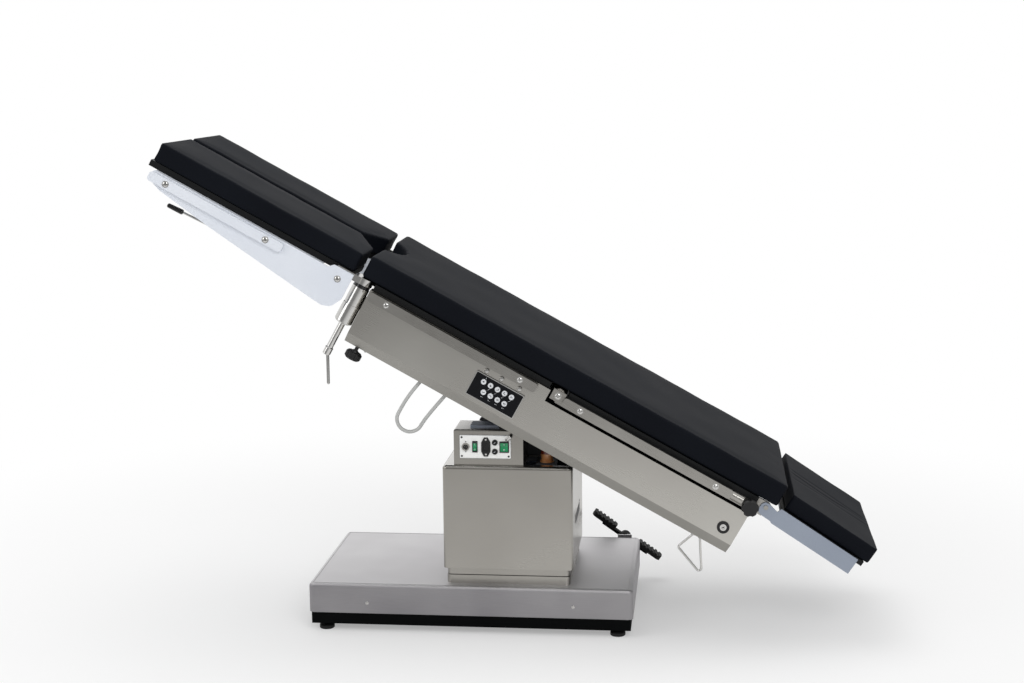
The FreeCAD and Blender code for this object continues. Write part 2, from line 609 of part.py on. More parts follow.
frameBottom = "-frame_top - frame_depth"
frameLength = "frame_end - frame_start"
pieces = []
for side in (-1, 1):
    near = "-frame_half" if side < 0 else "frame_half - frame_tube"
    tubeBox = box("frame_start", near, frameBottom, frameLength, "frame_tube", "frame_depth")
    bore = box("frame_start - 1", f"{near} + frame_wall", f"{frameBottom} + frame_wall", f"{frameLength} + 2",
               "frame_tube - 2*frame_wall", "frame_depth - 2*frame_wall")
    pieces.append(cut(tubeBox, bore))
    riser = "-frame_half" if side < 0 else "frame_half - 20"
    pieces.append(box("frame_start", riser, "-frame_top - 1", "seat_board_end - 8 - frame_start", "20",
                      "frame_top + 1 - pad_thick - board_thick"))
    stay = "-side_half + side_wall" if side < 0 else "frame_half - 1"
    for u in ("side_start + 140", "pivot_u - 150", "notch_start + 120", "side_end - 120"):
        pieces.append(box(u, stay, "-frame_top - 30", "30", "side_half - side_wall - frame_half + 1", "20"))
    lug = "-frame_half + 22" if side < 0 else "frame_half - 22 - lug_thick"
    pieces.append(box("back_u - lug_radius", lug, f"{frameBottom} + 4", "2*lug_radius", "lug_thick",
                      "frame_top + frame_depth - 4 - back_n"))
    pieces.append(rod("y", "back_u", lug, "-back_n", "lug_radius", "lug_thick"))
inside = "2*(frame_half - frame_tube) + 4"
memberStarts = ["frame_start", "pivot_u - hanger_near - hanger_thick - 10", "pivot_u + hanger_near - 15",
                "frame_end - member"]
for u in memberStarts:
    pieces.append(box(u, f"-({inside})/2", frameBottom, "member", inside, "frame_depth"))
for u in ("pivot_u - hanger_near - hanger_thick", "pivot_u + hanger_near"):
    pieces.append(box(u, "-hanger_radius", "pivot_n", "hanger_thick", "2*hanger_radius",
                      "-pivot_n - frame_top - frame_depth + 2"))
    pieces.append(rod("x", u, "0", "pivot_n", "hanger_radius", "hanger_thick"))
glandUs = ("268", "343")
for u in glandUs:
    pieces.append(rod("z", u, "-gland_y", f"{frameBottom} - gland_length", "gland_radius", "gland_length + 2"))
bores = [rod("x", "pivot_u - hanger_near - hanger_thick - 1", "0", "pivot_n", "roll_radius + run",
             "2*(hanger_near + hanger_thick) + 2"),
         rod("y", "back_u", "-frame_half", "-back_n", "back_shaft_radius + run", "2*frame_half")]
part(cut(join(*pieces), *bores), "table_frame", "table")

# Side covers: long folded sheets on both sides, lower where the back section lies


def sideCover(side):
    body = newBody()
    out, ins = "side_half", "side_half - side_wall"
    skin = [(f"{side}*(side_half - 29)", "-side_top"), (f"{side}*({out})", "-side_top"),
            (f"{side}*({out})", "-side_bevel"), (f"{side}*(side_half - side_bevel_in)", "-side_bottom"),
            (f"{side}*(side_half - side_bevel_in - side_return)", "-side_bottom"),
            (f"{side}*(side_half - side_bevel_in - side_return)", "-side_bottom + side_wall"),
            (f"{side}*(side_half - side_bevel_in - 1.2)", "-side_bottom + side_wall"),
            (f"{side}*({ins})", "-side_bevel + 0.5"), (f"{side}*({ins})", "-side_top - side_wall"),
            (f"{side}*(side_half - 29)", "-side_top - side_wall")]
    sketch = sketchOn(body, "x", "side_start")
    outline(sketch, skin)
    grow(body, sketch, "x", "side_end - side_start")
    cap = [skin[1], skin[2], skin[3], skin[4],
           (f"{side}*(side_half - side_bevel_in - side_return)", "-side_top")]
    for start in ("side_start", "side_end - side_wall"):
        sketch = sketchOn(body, "x", start)
        outline(sketch, cap)
        grow(body, sketch, "x", "side_wall")
    notch = sketchOn(body, "y", "side_half*%d - 40" % side)
    rectangle(notch, "(notch_start + side_end)/2 + 5", "-notch_top/2", "side_end - notch_start + 10",
              "notch_top")
    carve(body, notch, "y", "80")
    return body


part(group(*[sideCover(side) for side in sides.values()]), "side_covers", "table")

# Seat: board, pad, and the wedge of foam that folds when the back section rises

cutRadius = "(cutout_half*cutout_half + cutout_depth*cutout_depth)/(2*cutout_depth)"
cutCentre = f"cutout_depth - ({cutRadius})"
seatBoard = slab("z", "-pad_thick - board_thick", "board_thick", "(2 + seat_board_end)/2", "0",
                 "seat_board_end - 2", "pad_width")
pierce(seatBoard, "z", "-pad_thick - board_thick - 1", "board_thick + 2", (cutCentre, "0", f"{cutRadius} + 4"))
for side in sides.values():
    openUp(seatBoard, "z", "-pad_thick - board_thick - 1", "board_thick + 2", "barrel_u",
            f"{side}*(pad_width/2)", "2*(knuckle_radius + 8)",
            "2*(pad_width/2 - barrel_y + knuckle_radius + 3)")
part(seatBoard, "seat_board", "table")


def foldEdge(side, n):
    # u of the fold's slanted face at height n, measured from the back hinge
    return f"back_u + {side}*(back_n + {n})*tan(fold_angle)"


seatPad = prism("y", "-pad_width/2", "pad_width", [
    ("0", "-pad_thick"), (foldEdge(-1, "-pad_thick"), "-pad_thick"), (foldEdge(-1, "0"), "0"), ("0", "0")])
pierce(seatPad, "z", "-pad_thick - 1", "pad_thick + 2", (cutCentre, "0", cutRadius))
soften(seatPad, "5", lambda m, a: abs(m.z) < 0.01 and abs(a.x) > 0.99)
part(seatPad, "seat_pad", "table")
fold = prism("y", "-pad_width/2", "pad_width", [
    (foldEdge(-1, "-pad_thick"), "-pad_thick"), (f"{foldEdge(1, '-pad_thick')} - fold_gap", "-pad_thick"),
    (f"{foldEdge(1, '0')} - fold_gap", "0"), (foldEdge(-1, "0"), "0")])
soften(fold, "5", lambda m, a: abs(m.z) < 0.01 and abs(a.x) > 0.99)
part(fold, "pad_fold", "table")


def sideRail(side, start, end, top, gap, spacers):
    # flat accessory rail with rounded ends on round spacers
    body = newBody()
    low = f"{side}*side_half - ({gap} + rail_thick)" if side < 0 else f"side_half + {gap}"
    sketch = sketchOn(body, "y", low)
    rectangle(sketch, f"(({start}) + ({end}))/2", f"-({top}) - rail_height/2", f"({end}) - ({start})",
              "rail_height")
    grow(body, sketch, "y", "rail_thick")
    soften(body, "rail_round", lambda m, a: abs(a.y) > 0.99)
    posts = sketchOn(body, "y", f"{side}*side_half - {gap}" if side < 0 else "side_half")
    for u in spacers:
        ring(posts, u, f"-({top}) - rail_height/2", "8")
    grow(body, posts, "y", gap)
    return body


seatSpacers = ["seat_rail_start + 51", "(seat_rail_start + seat_rail_end)/2", "seat_rail_end - 47"]
part(group(*[sideRail(side, "seat_rail_start", "seat_rail_end", "seat_rail_top", "rail_gap", seatSpacers)
             for side in sides.values()]), "seat_rails", "table")

# Keypad with nine sprung buttons

keypad = slab("y", "-side_half - keypad_thick", "keypad_thick", "keypad_u", "-keypad_n", "keypad_length",
              "keypad_height")
soften(keypad, "3", lambda m, a: abs(a.y) > 0.99)
buttons = {}
for index in range(9):
    row, column = (0, index) if index < 5 else (1, index - 5)
    u = f"keypad_u + ({column} - {2 if row == 0 else 1.5})*button_pitch + {0 if row == 0 else 2}"
    n = f"-keypad_n + {15.5 if row == 0 else -8.5}"
    buttons[f"button_{index + 1}"] = (u, n)
holes = [(u, n, "button_radius + button_gap") for u, n in buttons.values()]
pierce(keypad, "y", "-side_half - keypad_thick - 1", "keypad_thick + 0.7", *holes)
part(keypad, "keypad", "table")
for name, (u, n) in buttons.items():
    button = rod("y", u, "-side_half - keypad_thick - button_proud", n, "button_radius", "keypad_thick")
    part(group(button), name, "table")

# Key socket and cable hook on the control side

keyRing = cut(rod("y", "key_u", "-side_half - key_thick", "-key_n", "key_radius", "key_thick"),
              rod("y", "key_u", "-side_half - key_thick - 1", "-key_n", "key_core", "key_thick + 2"))
keyCore = cut(rod("y", "key_u", "-side_half - key_thick - 2", "-key_n", "key_core", "key_thick + 2"),
              box("key_u - 1.5", "-side_half - key_thick - 3", "-key_n - 5", "3", "4", "10"))
part(group(keyRing, keyCore), "key_switch", "table")

hookY = -size("hook_y")
hookTop = -size("side_bottom") - 1.5
hookPoints = [(1066, hookY, hookTop), (1048, hookY, -281), (1139, hookY, -317), (1086, hookY, hookTop)]
hookShape, _ = tube(hookPoints, size("hook_radius"), [7, 6.5])
hook = doc.addObject("Part::Feature", "hook")
hook.Shape = hookShape
weldSpots = [rod("z", u, "-hook_y", "-side_bottom - 3", "hook_radius + 2", "3") for u in ("1066", "1086")]
part(join(hook, *weldSpots), "wire_hook", "table")

# Control cable: one loop below the near cover, both ends in glands under the frame tube

glandEnd = -size("frame_top") - size("frame_depth") - size("gland_length") - 0.33
cordPoints = [
    (268, -230, glandEnd), (267.5, -231.5, -193), (265, -235.5, -219), (259.5, -240.5, -244),
    (254.5, -244, -270), (251.5, -246, -297), (250.8, -247, -320.5), (251, -247, -347.7), (270.3, -247, -367),
    (297.7, -246.5, -367), (317, -246, -347.7), (318, -245.5, -322), (322, -244.5, -297),
    (327, -242.5, -272), (332.5, -240, -247), (338, -236.5, -222), (342, -232.5, -197), (343, -230, glandEnd)]
cordBends = []
for i in range(1, len(cordPoints) - 1):
    before = Vector(*cordPoints[i - 1]) - Vector(*cordPoints[i])
    after = Vector(*cordPoints[i + 1]) - Vector(*cordPoints[i])
    halfTurn = (math.pi - before.getAngle(after)) / 2
    cordBends.append(0.45 * min(before.Length, after.Length) / math.tan(halfTurn))
cordShape, cordLength = tube(cordPoints, size("cord_radius"), cordBends)
print("cable length", round(cordLength, 1), "bend radii", [round(radius) for radius in cordBends])
cord = doc.addObject("Part::Feature", "cord")
cord.Shape = cordShape
part(group(cord), "control_cable", "table")

# Worm gearmotor that turns the back section's hinge shaft

gearcase = join(rod("y", "back_u", "drive_y - 50", "-back_n", "lug_radius + 1", "100"),
                box("back_u - lug_radius - 1", "drive_y - 50", "-frame_top", "2*lug_radius + 2", "100",
                    "frame_top - back_n"))
wormcase = box("back_u + 12", "drive_y - 26", "-frame_top - frame_depth", "50", "52", "frame_depth + 1")
wormMotor = rod("z", "back_u + 37", "drive_y", "-frame_top - frame_depth - 58", "22", "60")
wormEnd = rod("z", "back_u + 37", "drive_y", "-frame_top - frame_depth - 64", "16", "64")
part(cut(join(gearcase, wormcase, wormMotor, wormEnd),
         rod("y", "back_u", "drive_y - 60", "-back_n", "back_shaft_radius + run",
             "120")), "back_drive", "table")

# Back section: bars with rails, board and pad, on a shaft in the frame's lugs

backPieces = []
barTop = "-pad_thick - board_thick"
for side in (-1, 1):
    out = "-back_bar_out" if side < 0 else "back_bar_in"
    barWidth = "back_bar_out - back_bar_in"
    backPieces.append(box("back_u", out, f"{barTop} - back_bar_depth", "head_u - 24 - back_u", barWidth,
                          "back_bar_depth"))
    backPieces.append(rod("y", "back_u", f"{out} - 1.3" if side < 0 else out, "-back_n", "lug_radius - 2",
                          f"{barWidth} + 1.3"))
    backPieces.append(box("back_u - hinge_block_length/2",
                          "-hinge_block_out" if side < 0 else "back_bar_out + 0.3",
                          "-back_n - hinge_block_height/2", "hinge_block_length",
                          "hinge_block_out - back_bar_out - 0.3", "hinge_block_height"))
    backPieces.append(rod("x", "back_rail_end - 6", f"{side}*(back_bar_out + rail_height/2)",
                          "-back_rail_top - rail_height/2", "rail_height/2 - 0.5", "37"))
    ear = "-back_bar_in - 5" if side < 0 else "back_bar_in - 6"
    backPieces.append(rod("y", "head_u", ear, "-head_n", "13", "11"))
    backPieces.append(box("head_u - 27", ear, "-head_n - 13", "27", "11", "26"))
    backPieces.append(box("head_u - 60", ear, f"{barTop} - back_bar_depth + 1", "60", "11",
                          "back_bar_depth - 2"))
    pinStart = "-head_plate_out - 3" if side < 0 else "back_bar_in - 6"
    backPieces.append(rod("y", "head_u", pinStart, "-head_n", "head_pin_radius",
                          "head_plate_out + 3 - back_bar_in + 6"))
for u in ("back_board_start + 1", "head_u - 50"):
    backPieces.append(box(u, "-back_bar_in - 1", f"{barTop} - back_bar_depth + 2", "20", "2*back_bar_in + 2",
                          "back_bar_depth - 2"))
backPieces.append(rod("y", "back_u", "-back_bar_in - 2", "-back_n", "back_shaft_radius", "2*back_bar_in + 4"))
backSpacers = ["back_rail_start + 50", "(back_rail_start + back_rail_end)/2", "back_rail_end - 56"]
for side in (-1, 1):
    backPieces.append(sideRail(side, "back_rail_start", "back_rail_end", "back_rail_top", "rail_gap",
                               backSpacers))
    stub = "-side_half" if side < 0 else "back_bar_out - 1"
    for u in backSpacers:
        backPieces.append(rod("y", u, stub, "-back_rail_top - rail_height/2", "8",
                              "side_half - back_bar_out + 1"))
part(join(*backPieces), "back_frame", "table")

backBoard = slab("z", "-pad_thick - board_thick", "board_thick", "(back_board_start + head_u - 28)/2", "0",
                 "head_u - 28 - back_board_start", "pad_width")
part(backBoard, "back_board", "table")
backPad = prism("y", "-pad_width/2", "pad_width", [
    (foldEdge(1, "-pad_thick"), "-pad_thick"), ("seat_length", "-pad_thick"), ("seat_length", "0"),
    (foldEdge(1, "0"), "0")])
soften(backPad, "5", lambda m, a: abs(m.z) < 0.01 and abs(a.x) > 0.99)
part(backPad, "back_pad", "table")

# Head section, drawn from its own hinge

headPieces = []
for side in (-1, 1):
    start = "-head_plate_out" if side < 0 else "head_plate_out - head_plate_thick"
    plate = prism("y", start, "head_plate_thick", [
        ("-14", "-9"), ("-9", "-20"), ("0", "-23"), ("28", "-23.4"), ("34", "-26.5"), ("268", "-26"),
        ("268", "19"), ("35", "19"), ("30.5", "6.5"),
        ("4", "12.5"), ("-8", "11"), ("-14", "2")])
    pierce(plate, "y", f"{start} - 1", "head_plate_thick + 2", ("0", "0", "head_pin_radius + run"))
    headPieces.append(plate)
for a in ("60", "236"):
    headPieces.append(box(a, "-head_plate_out + 1", "-16", "24", "2*head_plate_out - 2", "22"))
part(join(*headPieces), "head_frame", "head")
headBoard = slab("z", "head_pad_bottom - head_board_thick", "head_board_thick",
                 "(head_pad_start + head_pad_end)/2 - 6",
                 "0", "head_pad_end - head_pad_start - 14", "head_pad_width - 4")
part(headBoard, "head_board", "head")
headPad = slab("y", "-head_pad_width/2", "head_pad_width", "(head_pad_start + head_pad_end)/2",
               "(head_pad_top + head_pad_bottom)/2", "head_pad_end - head_pad_start",
               "head_pad_top - head_pad_bottom")
soften(headPad, "5", lambda m, a: abs(m.z - size("head_pad_top")) < 0.01)
part(headPad, "head_pad", "head")


def starKnob(x, y, z, rotation):
    # lobed clamp knob with its stem, drawn along Z with the stem's end at z = 0
    body = turned([("0", "-knob_stem - knob_thick"), ("knob_radius - 4", "-knob_stem - knob_thick"),
                   ("knob_radius", "-knob_stem - knob_thick + 4"), ("knob_radius", "-knob_stem - 4"),
                   ("knob_radius - 4", "-knob_stem"), ("stem_radius + 5", "-knob_stem"),
                   ("stem_radius + 2", "-knob_stem + 5"), ("stem_radius", "-knob_stem + 5"),
                   ("stem_radius", "0"), ("0", "0")], "0", "0", "0")
    sketch = sketchOn(body, "z", "-knob_stem - knob_thick - 1")
    ring(sketch, "knob_radius + scallop/2", "0", "scallop")
    pocket = carve(body, sketch, "z", "knob_thick + 2")
    pattern = body.newObject("PartDesign::PolarPattern", "lobes")
    pattern.Originals = [pocket]
    pattern.Axis = (sketch, ["N_Axis"])
    pattern.Angle = 360
    bind(pattern, Occurrences="knob_lobes")
    body.Tip = pattern
    seat(body, x, y, z, rotation)
    return body


part(group(starKnob("head_knob_u", "-back_bar_out - 0.3", "-head_knob_n",
                    FreeCAD.Rotation(Vector(1, 0, 0), -90))),
     "head_knob", "table")

# Leg sections, one on each side: turning joint, plate with rail, board and pad, and their handles

barrels = []
for name, side in sides.items():
    y = f"{side}*barrel_y"
    sleeveTurn = turned([
        ("spigot_radius + run", "-barrel_top"), ("barrel_radius - 2", "-barrel_top"),
        ("barrel_radius - 1", "-barrel_top - 1"), ("barrel_radius - 1", "-barrel_top - collar_depth"),
        ("barrel_radius", "-barrel_top - collar_depth"), ("barrel_radius", "-ring_top"),
        ("ring_radius", "-ring_top"), ("ring_radius", "-ring_bottom"), ("ring_radius - 4", "-ring_bottom - 4"),
        ("spindle_radius", "-ring_bottom - 4"), ("spindle_radius", "-spindle_bottom"),
        ("spindle_radius + 2", "-spindle_bottom - 2"), ("spindle_radius + 2", "-fork_bottom + 2"),
        ("spindle_radius", "-fork_bottom"), ("0", "-fork_bottom"), ("0", "-barrel_top - spigot_depth"),
        ("spigot_radius + run", "-barrel_top - spigot_depth")], "barrel_u", y, "0")
    bracketY = "-barrel_y + 9" if side < 0 else "barrel_y - 22"
    stay = box("barrel_u + 14", bracketY, "-frame_top - frame_depth + 2", "frame_start - barrel_u - 14", "13",
               "frame_depth - 4")
    slot = box("barrel_u - 20", f"{y} - bar_radius - 0.6", "-fork_bottom - 1", "40", "2*bar_radius + 1.2",
               "fork_bottom - bar_pivot + 9")
    slit = box("barrel_u - barrel_radius - 3", f"{y} - 6", "-ring_top - 14", "9", "12", "26")
    barrels.append(cut(join(sleeveTurn, stay), slot, slit))
part(group(*barrels), "leg_barrels", "table")

for name, side in sides.items():
    y = f"{side}*barrel_y"
    low = "-arm_out" if side < 0 else "arm_out - arm_thick"
    arm = prism("y", low, "arm_thick", [
        ("-pitch_u - 15", "-pad_thick - 0.3"), ("barrel_u - 8", "-pad_thick - 0.3"),
        ("barrel_u - 8", "-barrel_top + 0.3"),
        ("-pitch_u + 31", "-barrel_top + 0.3"), ("-pitch_u + 31", "-pitch_n - 17"),
        ("-pitch_u - 15", "-pitch_n - 17")])
    head = rod("z", "barrel_u", y, "-barrel_top + 0.3", "knuckle_radius", "barrel_top - 0.6 - pad_thick")
    spigot = rod("z", "barrel_u", y, "-barrel_top - spigot_depth + 2", "spigot_radius", "spigot_depth")
    pinLow = "-gusset_out - 2" if side < 0 else "arm_out - 2"
    pitchPin = rod("y", "-pitch_u", pinLow, "-pitch_n", "pitch_radius", "gusset_out + 4 - arm_out")
    bridge = box("barrel_u - 23", "-arm_out" if side < 0 else "barrel_y", "-barrel_top + 0.3", "15",
                 "arm_out - barrel_y", "barrel_top - 0.6 - pad_thick")
    part(join(arm, head, bridge, spigot, pitchPin), f"leg_knuckle_{name}", "table")

    plateLow = "-gusset_out" if side < 0 else "gusset_out - gusset_thick"
    plate = prism("y", plateLow, "gusset_thick", [
        ("-leg_rail_end + 6", "-pad_thick - board_thick"), ("-leg_rail_end", "-leg_rail_top - 6"),
        ("-leg_rail_end", "-leg_rail_top - 22"), ("-leg_rail_end + 40", "-119"), ("-397", "-140"),
        ("-91", "-172"),
        ("-54", "-175"), ("-30", "-167"), ("-14", "-137"), ("-14", "-pad_thick - 4"),
        ("-pitch_u - 24", "-pad_thick - 4"),
        ("-pitch_u - 36", "-pad_thick - board_thick")])
    soften(plate, "24", lambda m, a: abs(a.y) > 0.99 and m.z < -130 and m.x > -80)
    pierce(plate, "y", f"{plateLow} - 1", "gusset_thick + 2", ("-pitch_u", "-pitch_n", "pitch_radius + run"))
    flangeLow = "-gusset_out" if side < 0 else "gusset_out - 60"
    lip = box("-leg_rail_end + 8", flangeLow, "-pad_thick - board_thick - 4", "leg_rail_end - 8 - 100", "60",
              "4")
    inner = "-leg_gap/2 - 44" if side < 0 else "leg_gap/2 + 4"
    beam = box("-leg_rail_end + 30", inner, "-pad_thick - board_thick - 24", "leg_rail_end - 30 - 110", "40",
               "24")
    ties = [box(u, "-gusset_out + 2" if side < 0 else "leg_gap/2 + 5", "-pad_thick - board_thick - 20", "30",
                "gusset_out - 7 - leg_gap/2", "20") for u in ("-leg_rail_end + 60", "-leg_rail_start - 80")]
    boss = box("-release_u - 12", "-gusset_out + 12" if side < 0 else "gusset_out - 18", "-release_n - 12",
               "24", "6",
               "release_n + 12 - pad_thick - board_thick - 2")
    bossPin = rod("y", "-release_u", "-gusset_out + 17" if side < 0 else "gusset_out - 30", "-release_n", "4",
                  "13")
    railGap = "side_half + rail_gap - gusset_out"
    rail = newBody()
    railLow = "-side_half - rail_gap - rail_thick" if side < 0 else "side_half + rail_gap"
    sketch = sketchOn(rail, "y", railLow)
    rectangle(sketch, "-(leg_rail_start + leg_rail_end)/2", "-leg_rail_top - rail_height/2",
              "leg_rail_end - leg_rail_start", "rail_height")
    grow(rail, sketch, "y", "rail_thick")
    soften(rail, "rail_round", lambda m, a: abs(a.y) > 0.99)
    posts = sketchOn(rail, "y", "-side_half - rail_gap" if side < 0 else "gusset_out - 1")
    for u in ("-leg_rail_end + 50", "-leg_rail_start - 48"):
        ring(posts, u, "-leg_rail_top - rail_height/2", "8")
    grow(rail, posts, "y", f"{railGap} + 1")
    part(join(plate, lip, beam, *ties, boss, bossPin, rail), f"leg_plate_{name}", "table")

    def legOutline(start, end, outer, margin):
        inner = f"{side}*(leg_gap/2 + {margin})"
        return [(f"-({end})", f"{side}*({outer})"), (f"-({end})", inner),
                (f"-({start}) - leg_chamfer_u", inner),
                (f"-({start})", f"{side}*(leg_gap/2 + leg_chamfer_y)"), (f"-({start})", f"{side}*({outer})")]

    board = prism("z", "-pad_thick - board_thick", "board_thick",
                  legOutline("leg_board_start", "leg_board_end", "leg_board_half", "2"))
    part(board, f"leg_board_{name}", "table")
    pad = prism("z", "-leg_bottom - 2", "leg_bottom + 2 - leg_top",
                legOutline("leg_start", "leg_end", "pad_width/2", "0"))
    soften(pad, "5", lambda m, a: abs(m.z + size("leg_top")) < 0.01)
    part(pad, f"leg_pad_{name}", "table")

    eyeLow = "-gusset_out + 18.5" if side < 0 else "gusset_out - 25.5"
    middle = side * (size("gusset_out") - 22)
    eye = cut(rod("y", "-release_u", eyeLow, "-release_n", "9", "7"),
              rod("y", "-release_u", f"{eyeLow} - 1", "-release_n", "4 + run", "9"))
    u, n = size("release_u"), size("release_n")
    wireShape, _ = tube([(-u, middle, -n - 7.2), (-u, middle, -n - 22), (-u - 84, middle, -n - 26)],
                        size("wire_radius"), [8])
    wire = doc.addObject("Part::Feature", "wire")
    wire.Shape = wireShape
    grip = turned([("0", "0"), ("grip_radius - 1", "0"), ("grip_radius", "3"),
                   ("grip_radius - 1", "grip_length - 3"),
                   ("grip_radius - 3", "grip_length"), ("0", "grip_length")], "0", "0", "0")
    seat(grip, "-release_u - 82", f"{side}*(gusset_out - 22)", "-release_n - 26",
         FreeCAD.Rotation(Vector(0, 1, 0), -92.7))
    part(join(eye, wire, grip), f"release_lever_{name}", "table")

    barEye = rod("y", "0", "-bar_radius - 0.3", "0", "6", "2*bar_radius + 0.6")
    stem = rod("z", "0", "0", "-bar_length", "bar_radius", "bar_length")
    bar = part(join(barEye, stem, ball("0", "0", "-bar_length", "bar_radius - 0.2")), f"tommy_bar_{name}",
               "bar")
    bind(bar, Placement_Base_y=y)

    knob = starKnob("knob_u", f"{side}*knob_y", "-side_bottom - 0.3", FreeCAD.Rotation())
    part(group(knob), f"leg_knob_{name}", "table")

# Every object has to be sound before anything is written

doc.recompute()
for thing in doc.Objects:
    if "Invalid" in thing.State or "Error" in thing.State:
        raise RuntimeError(f"{thing.Label} ({thing.Name}) failed: {thing.State}")
for thing in parts:
    if thing.Shape.isNull() or not thing.Shape.isValid() or not thing.Shape.Solids:
        raise RuntimeError(f"{thing.Label} has no valid shape")
for thing in parts:
    thing.Shape.exportStep(f"parts/{thing.Label}.step")
print(len(parts), "parts written")
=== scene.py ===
import math

import bpy
import bmesh
import numpy as np
from mathutils import Matrix, Vector


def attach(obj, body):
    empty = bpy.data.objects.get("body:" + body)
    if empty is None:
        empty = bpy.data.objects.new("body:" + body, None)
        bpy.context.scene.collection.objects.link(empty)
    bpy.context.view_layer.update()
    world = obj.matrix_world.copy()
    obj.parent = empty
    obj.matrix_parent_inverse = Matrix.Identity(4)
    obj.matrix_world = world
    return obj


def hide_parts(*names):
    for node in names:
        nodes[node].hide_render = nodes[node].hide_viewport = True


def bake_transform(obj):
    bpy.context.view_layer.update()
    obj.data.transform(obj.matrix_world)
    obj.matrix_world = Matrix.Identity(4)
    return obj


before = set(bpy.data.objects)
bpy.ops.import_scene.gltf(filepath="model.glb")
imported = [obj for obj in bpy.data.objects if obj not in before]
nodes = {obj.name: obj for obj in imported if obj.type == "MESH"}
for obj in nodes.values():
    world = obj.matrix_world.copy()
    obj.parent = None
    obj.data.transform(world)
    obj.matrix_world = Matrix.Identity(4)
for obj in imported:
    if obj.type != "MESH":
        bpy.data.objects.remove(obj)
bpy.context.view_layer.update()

scene = bpy.context.scene
print("frame loaded,", len(nodes), "solids")

# where the tabletop and the head section lie, in metres and degrees
layout = {"baseX": -0.1194, "columnX": 0.100, "pivotHeight": 0.590, "pivotU": 0.496, "pivotN": -0.199,
          "tilt": 29, "headU": 1.190, "headN": -0.077, "headDrop": 4.5}


def frameMatrix(originX, originZ, degrees):
    # level drawing frame to the row frame: turned about Y, then moved
    return Matrix.Translation((originX, 0, originZ)) @ Matrix.Rotation(math.radians(degrees), 4, "Y")


tilt = math.radians(layout["tilt"])
columnMiddle = layout["baseX"] + layout["columnX"]
tableX = columnMiddle - layout["pivotU"] * math.cos(tilt) - layout["pivotN"] * math.sin(tilt)
tableZ = layout["pivotHeight"] + layout["pivotU"] * math.sin(tilt) - layout["pivotN"] * math.cos(tilt)
tableFrame = frameMatrix(tableX, tableZ, layout["tilt"])
headHinge = tableFrame @ Vector((layout["headU"], 0, layout["headN"]))
headFrame = frameMatrix(headHinge.x, headHinge.z, layout["tilt"] + layout["headDrop"])
baseFrame = frameMatrix(layout["baseX"], 0, 0)
levelFrame = Matrix.Identity(4)


# ---- colours and finishes

def linear(hexColour):
    # sRGB hex to linear light
    channels = np.array([int(hexColour[i:i + 2], 16) for i in (1, 3, 5)]) / 255
    light = np.where(channels <= 0.04045, channels / 12.92, ((channels + 0.055) / 1.055) ** 2.4)
    return (*[float(value) for value in light], 1.0)


def addNode(tree, kind, inputs=None, **settings):
    # one node with its settings; an input is a value, or another node's output to link
    node = tree.nodes.new(kind)
    for key, value in settings.items():
        setattr(node, key, value)
    for key, value in (inputs or {}).items():
        if isinstance(value, bpy.types.NodeSocket):
            tree.links.new(value, node.inputs[key])
        else:
            node.inputs[key].default_value = value
    return node


def mixPair(tree, spread, spec, darkKey, lightKey):
    # from the dark to the light colour of a pair
    return addNode(tree, "ShaderNodeMix", {0: spread.outputs["Result"], 6: linear(spec[darkKey]),
                                           7: linear(spec[lightKey])}, data_type="RGBA").outputs[2]


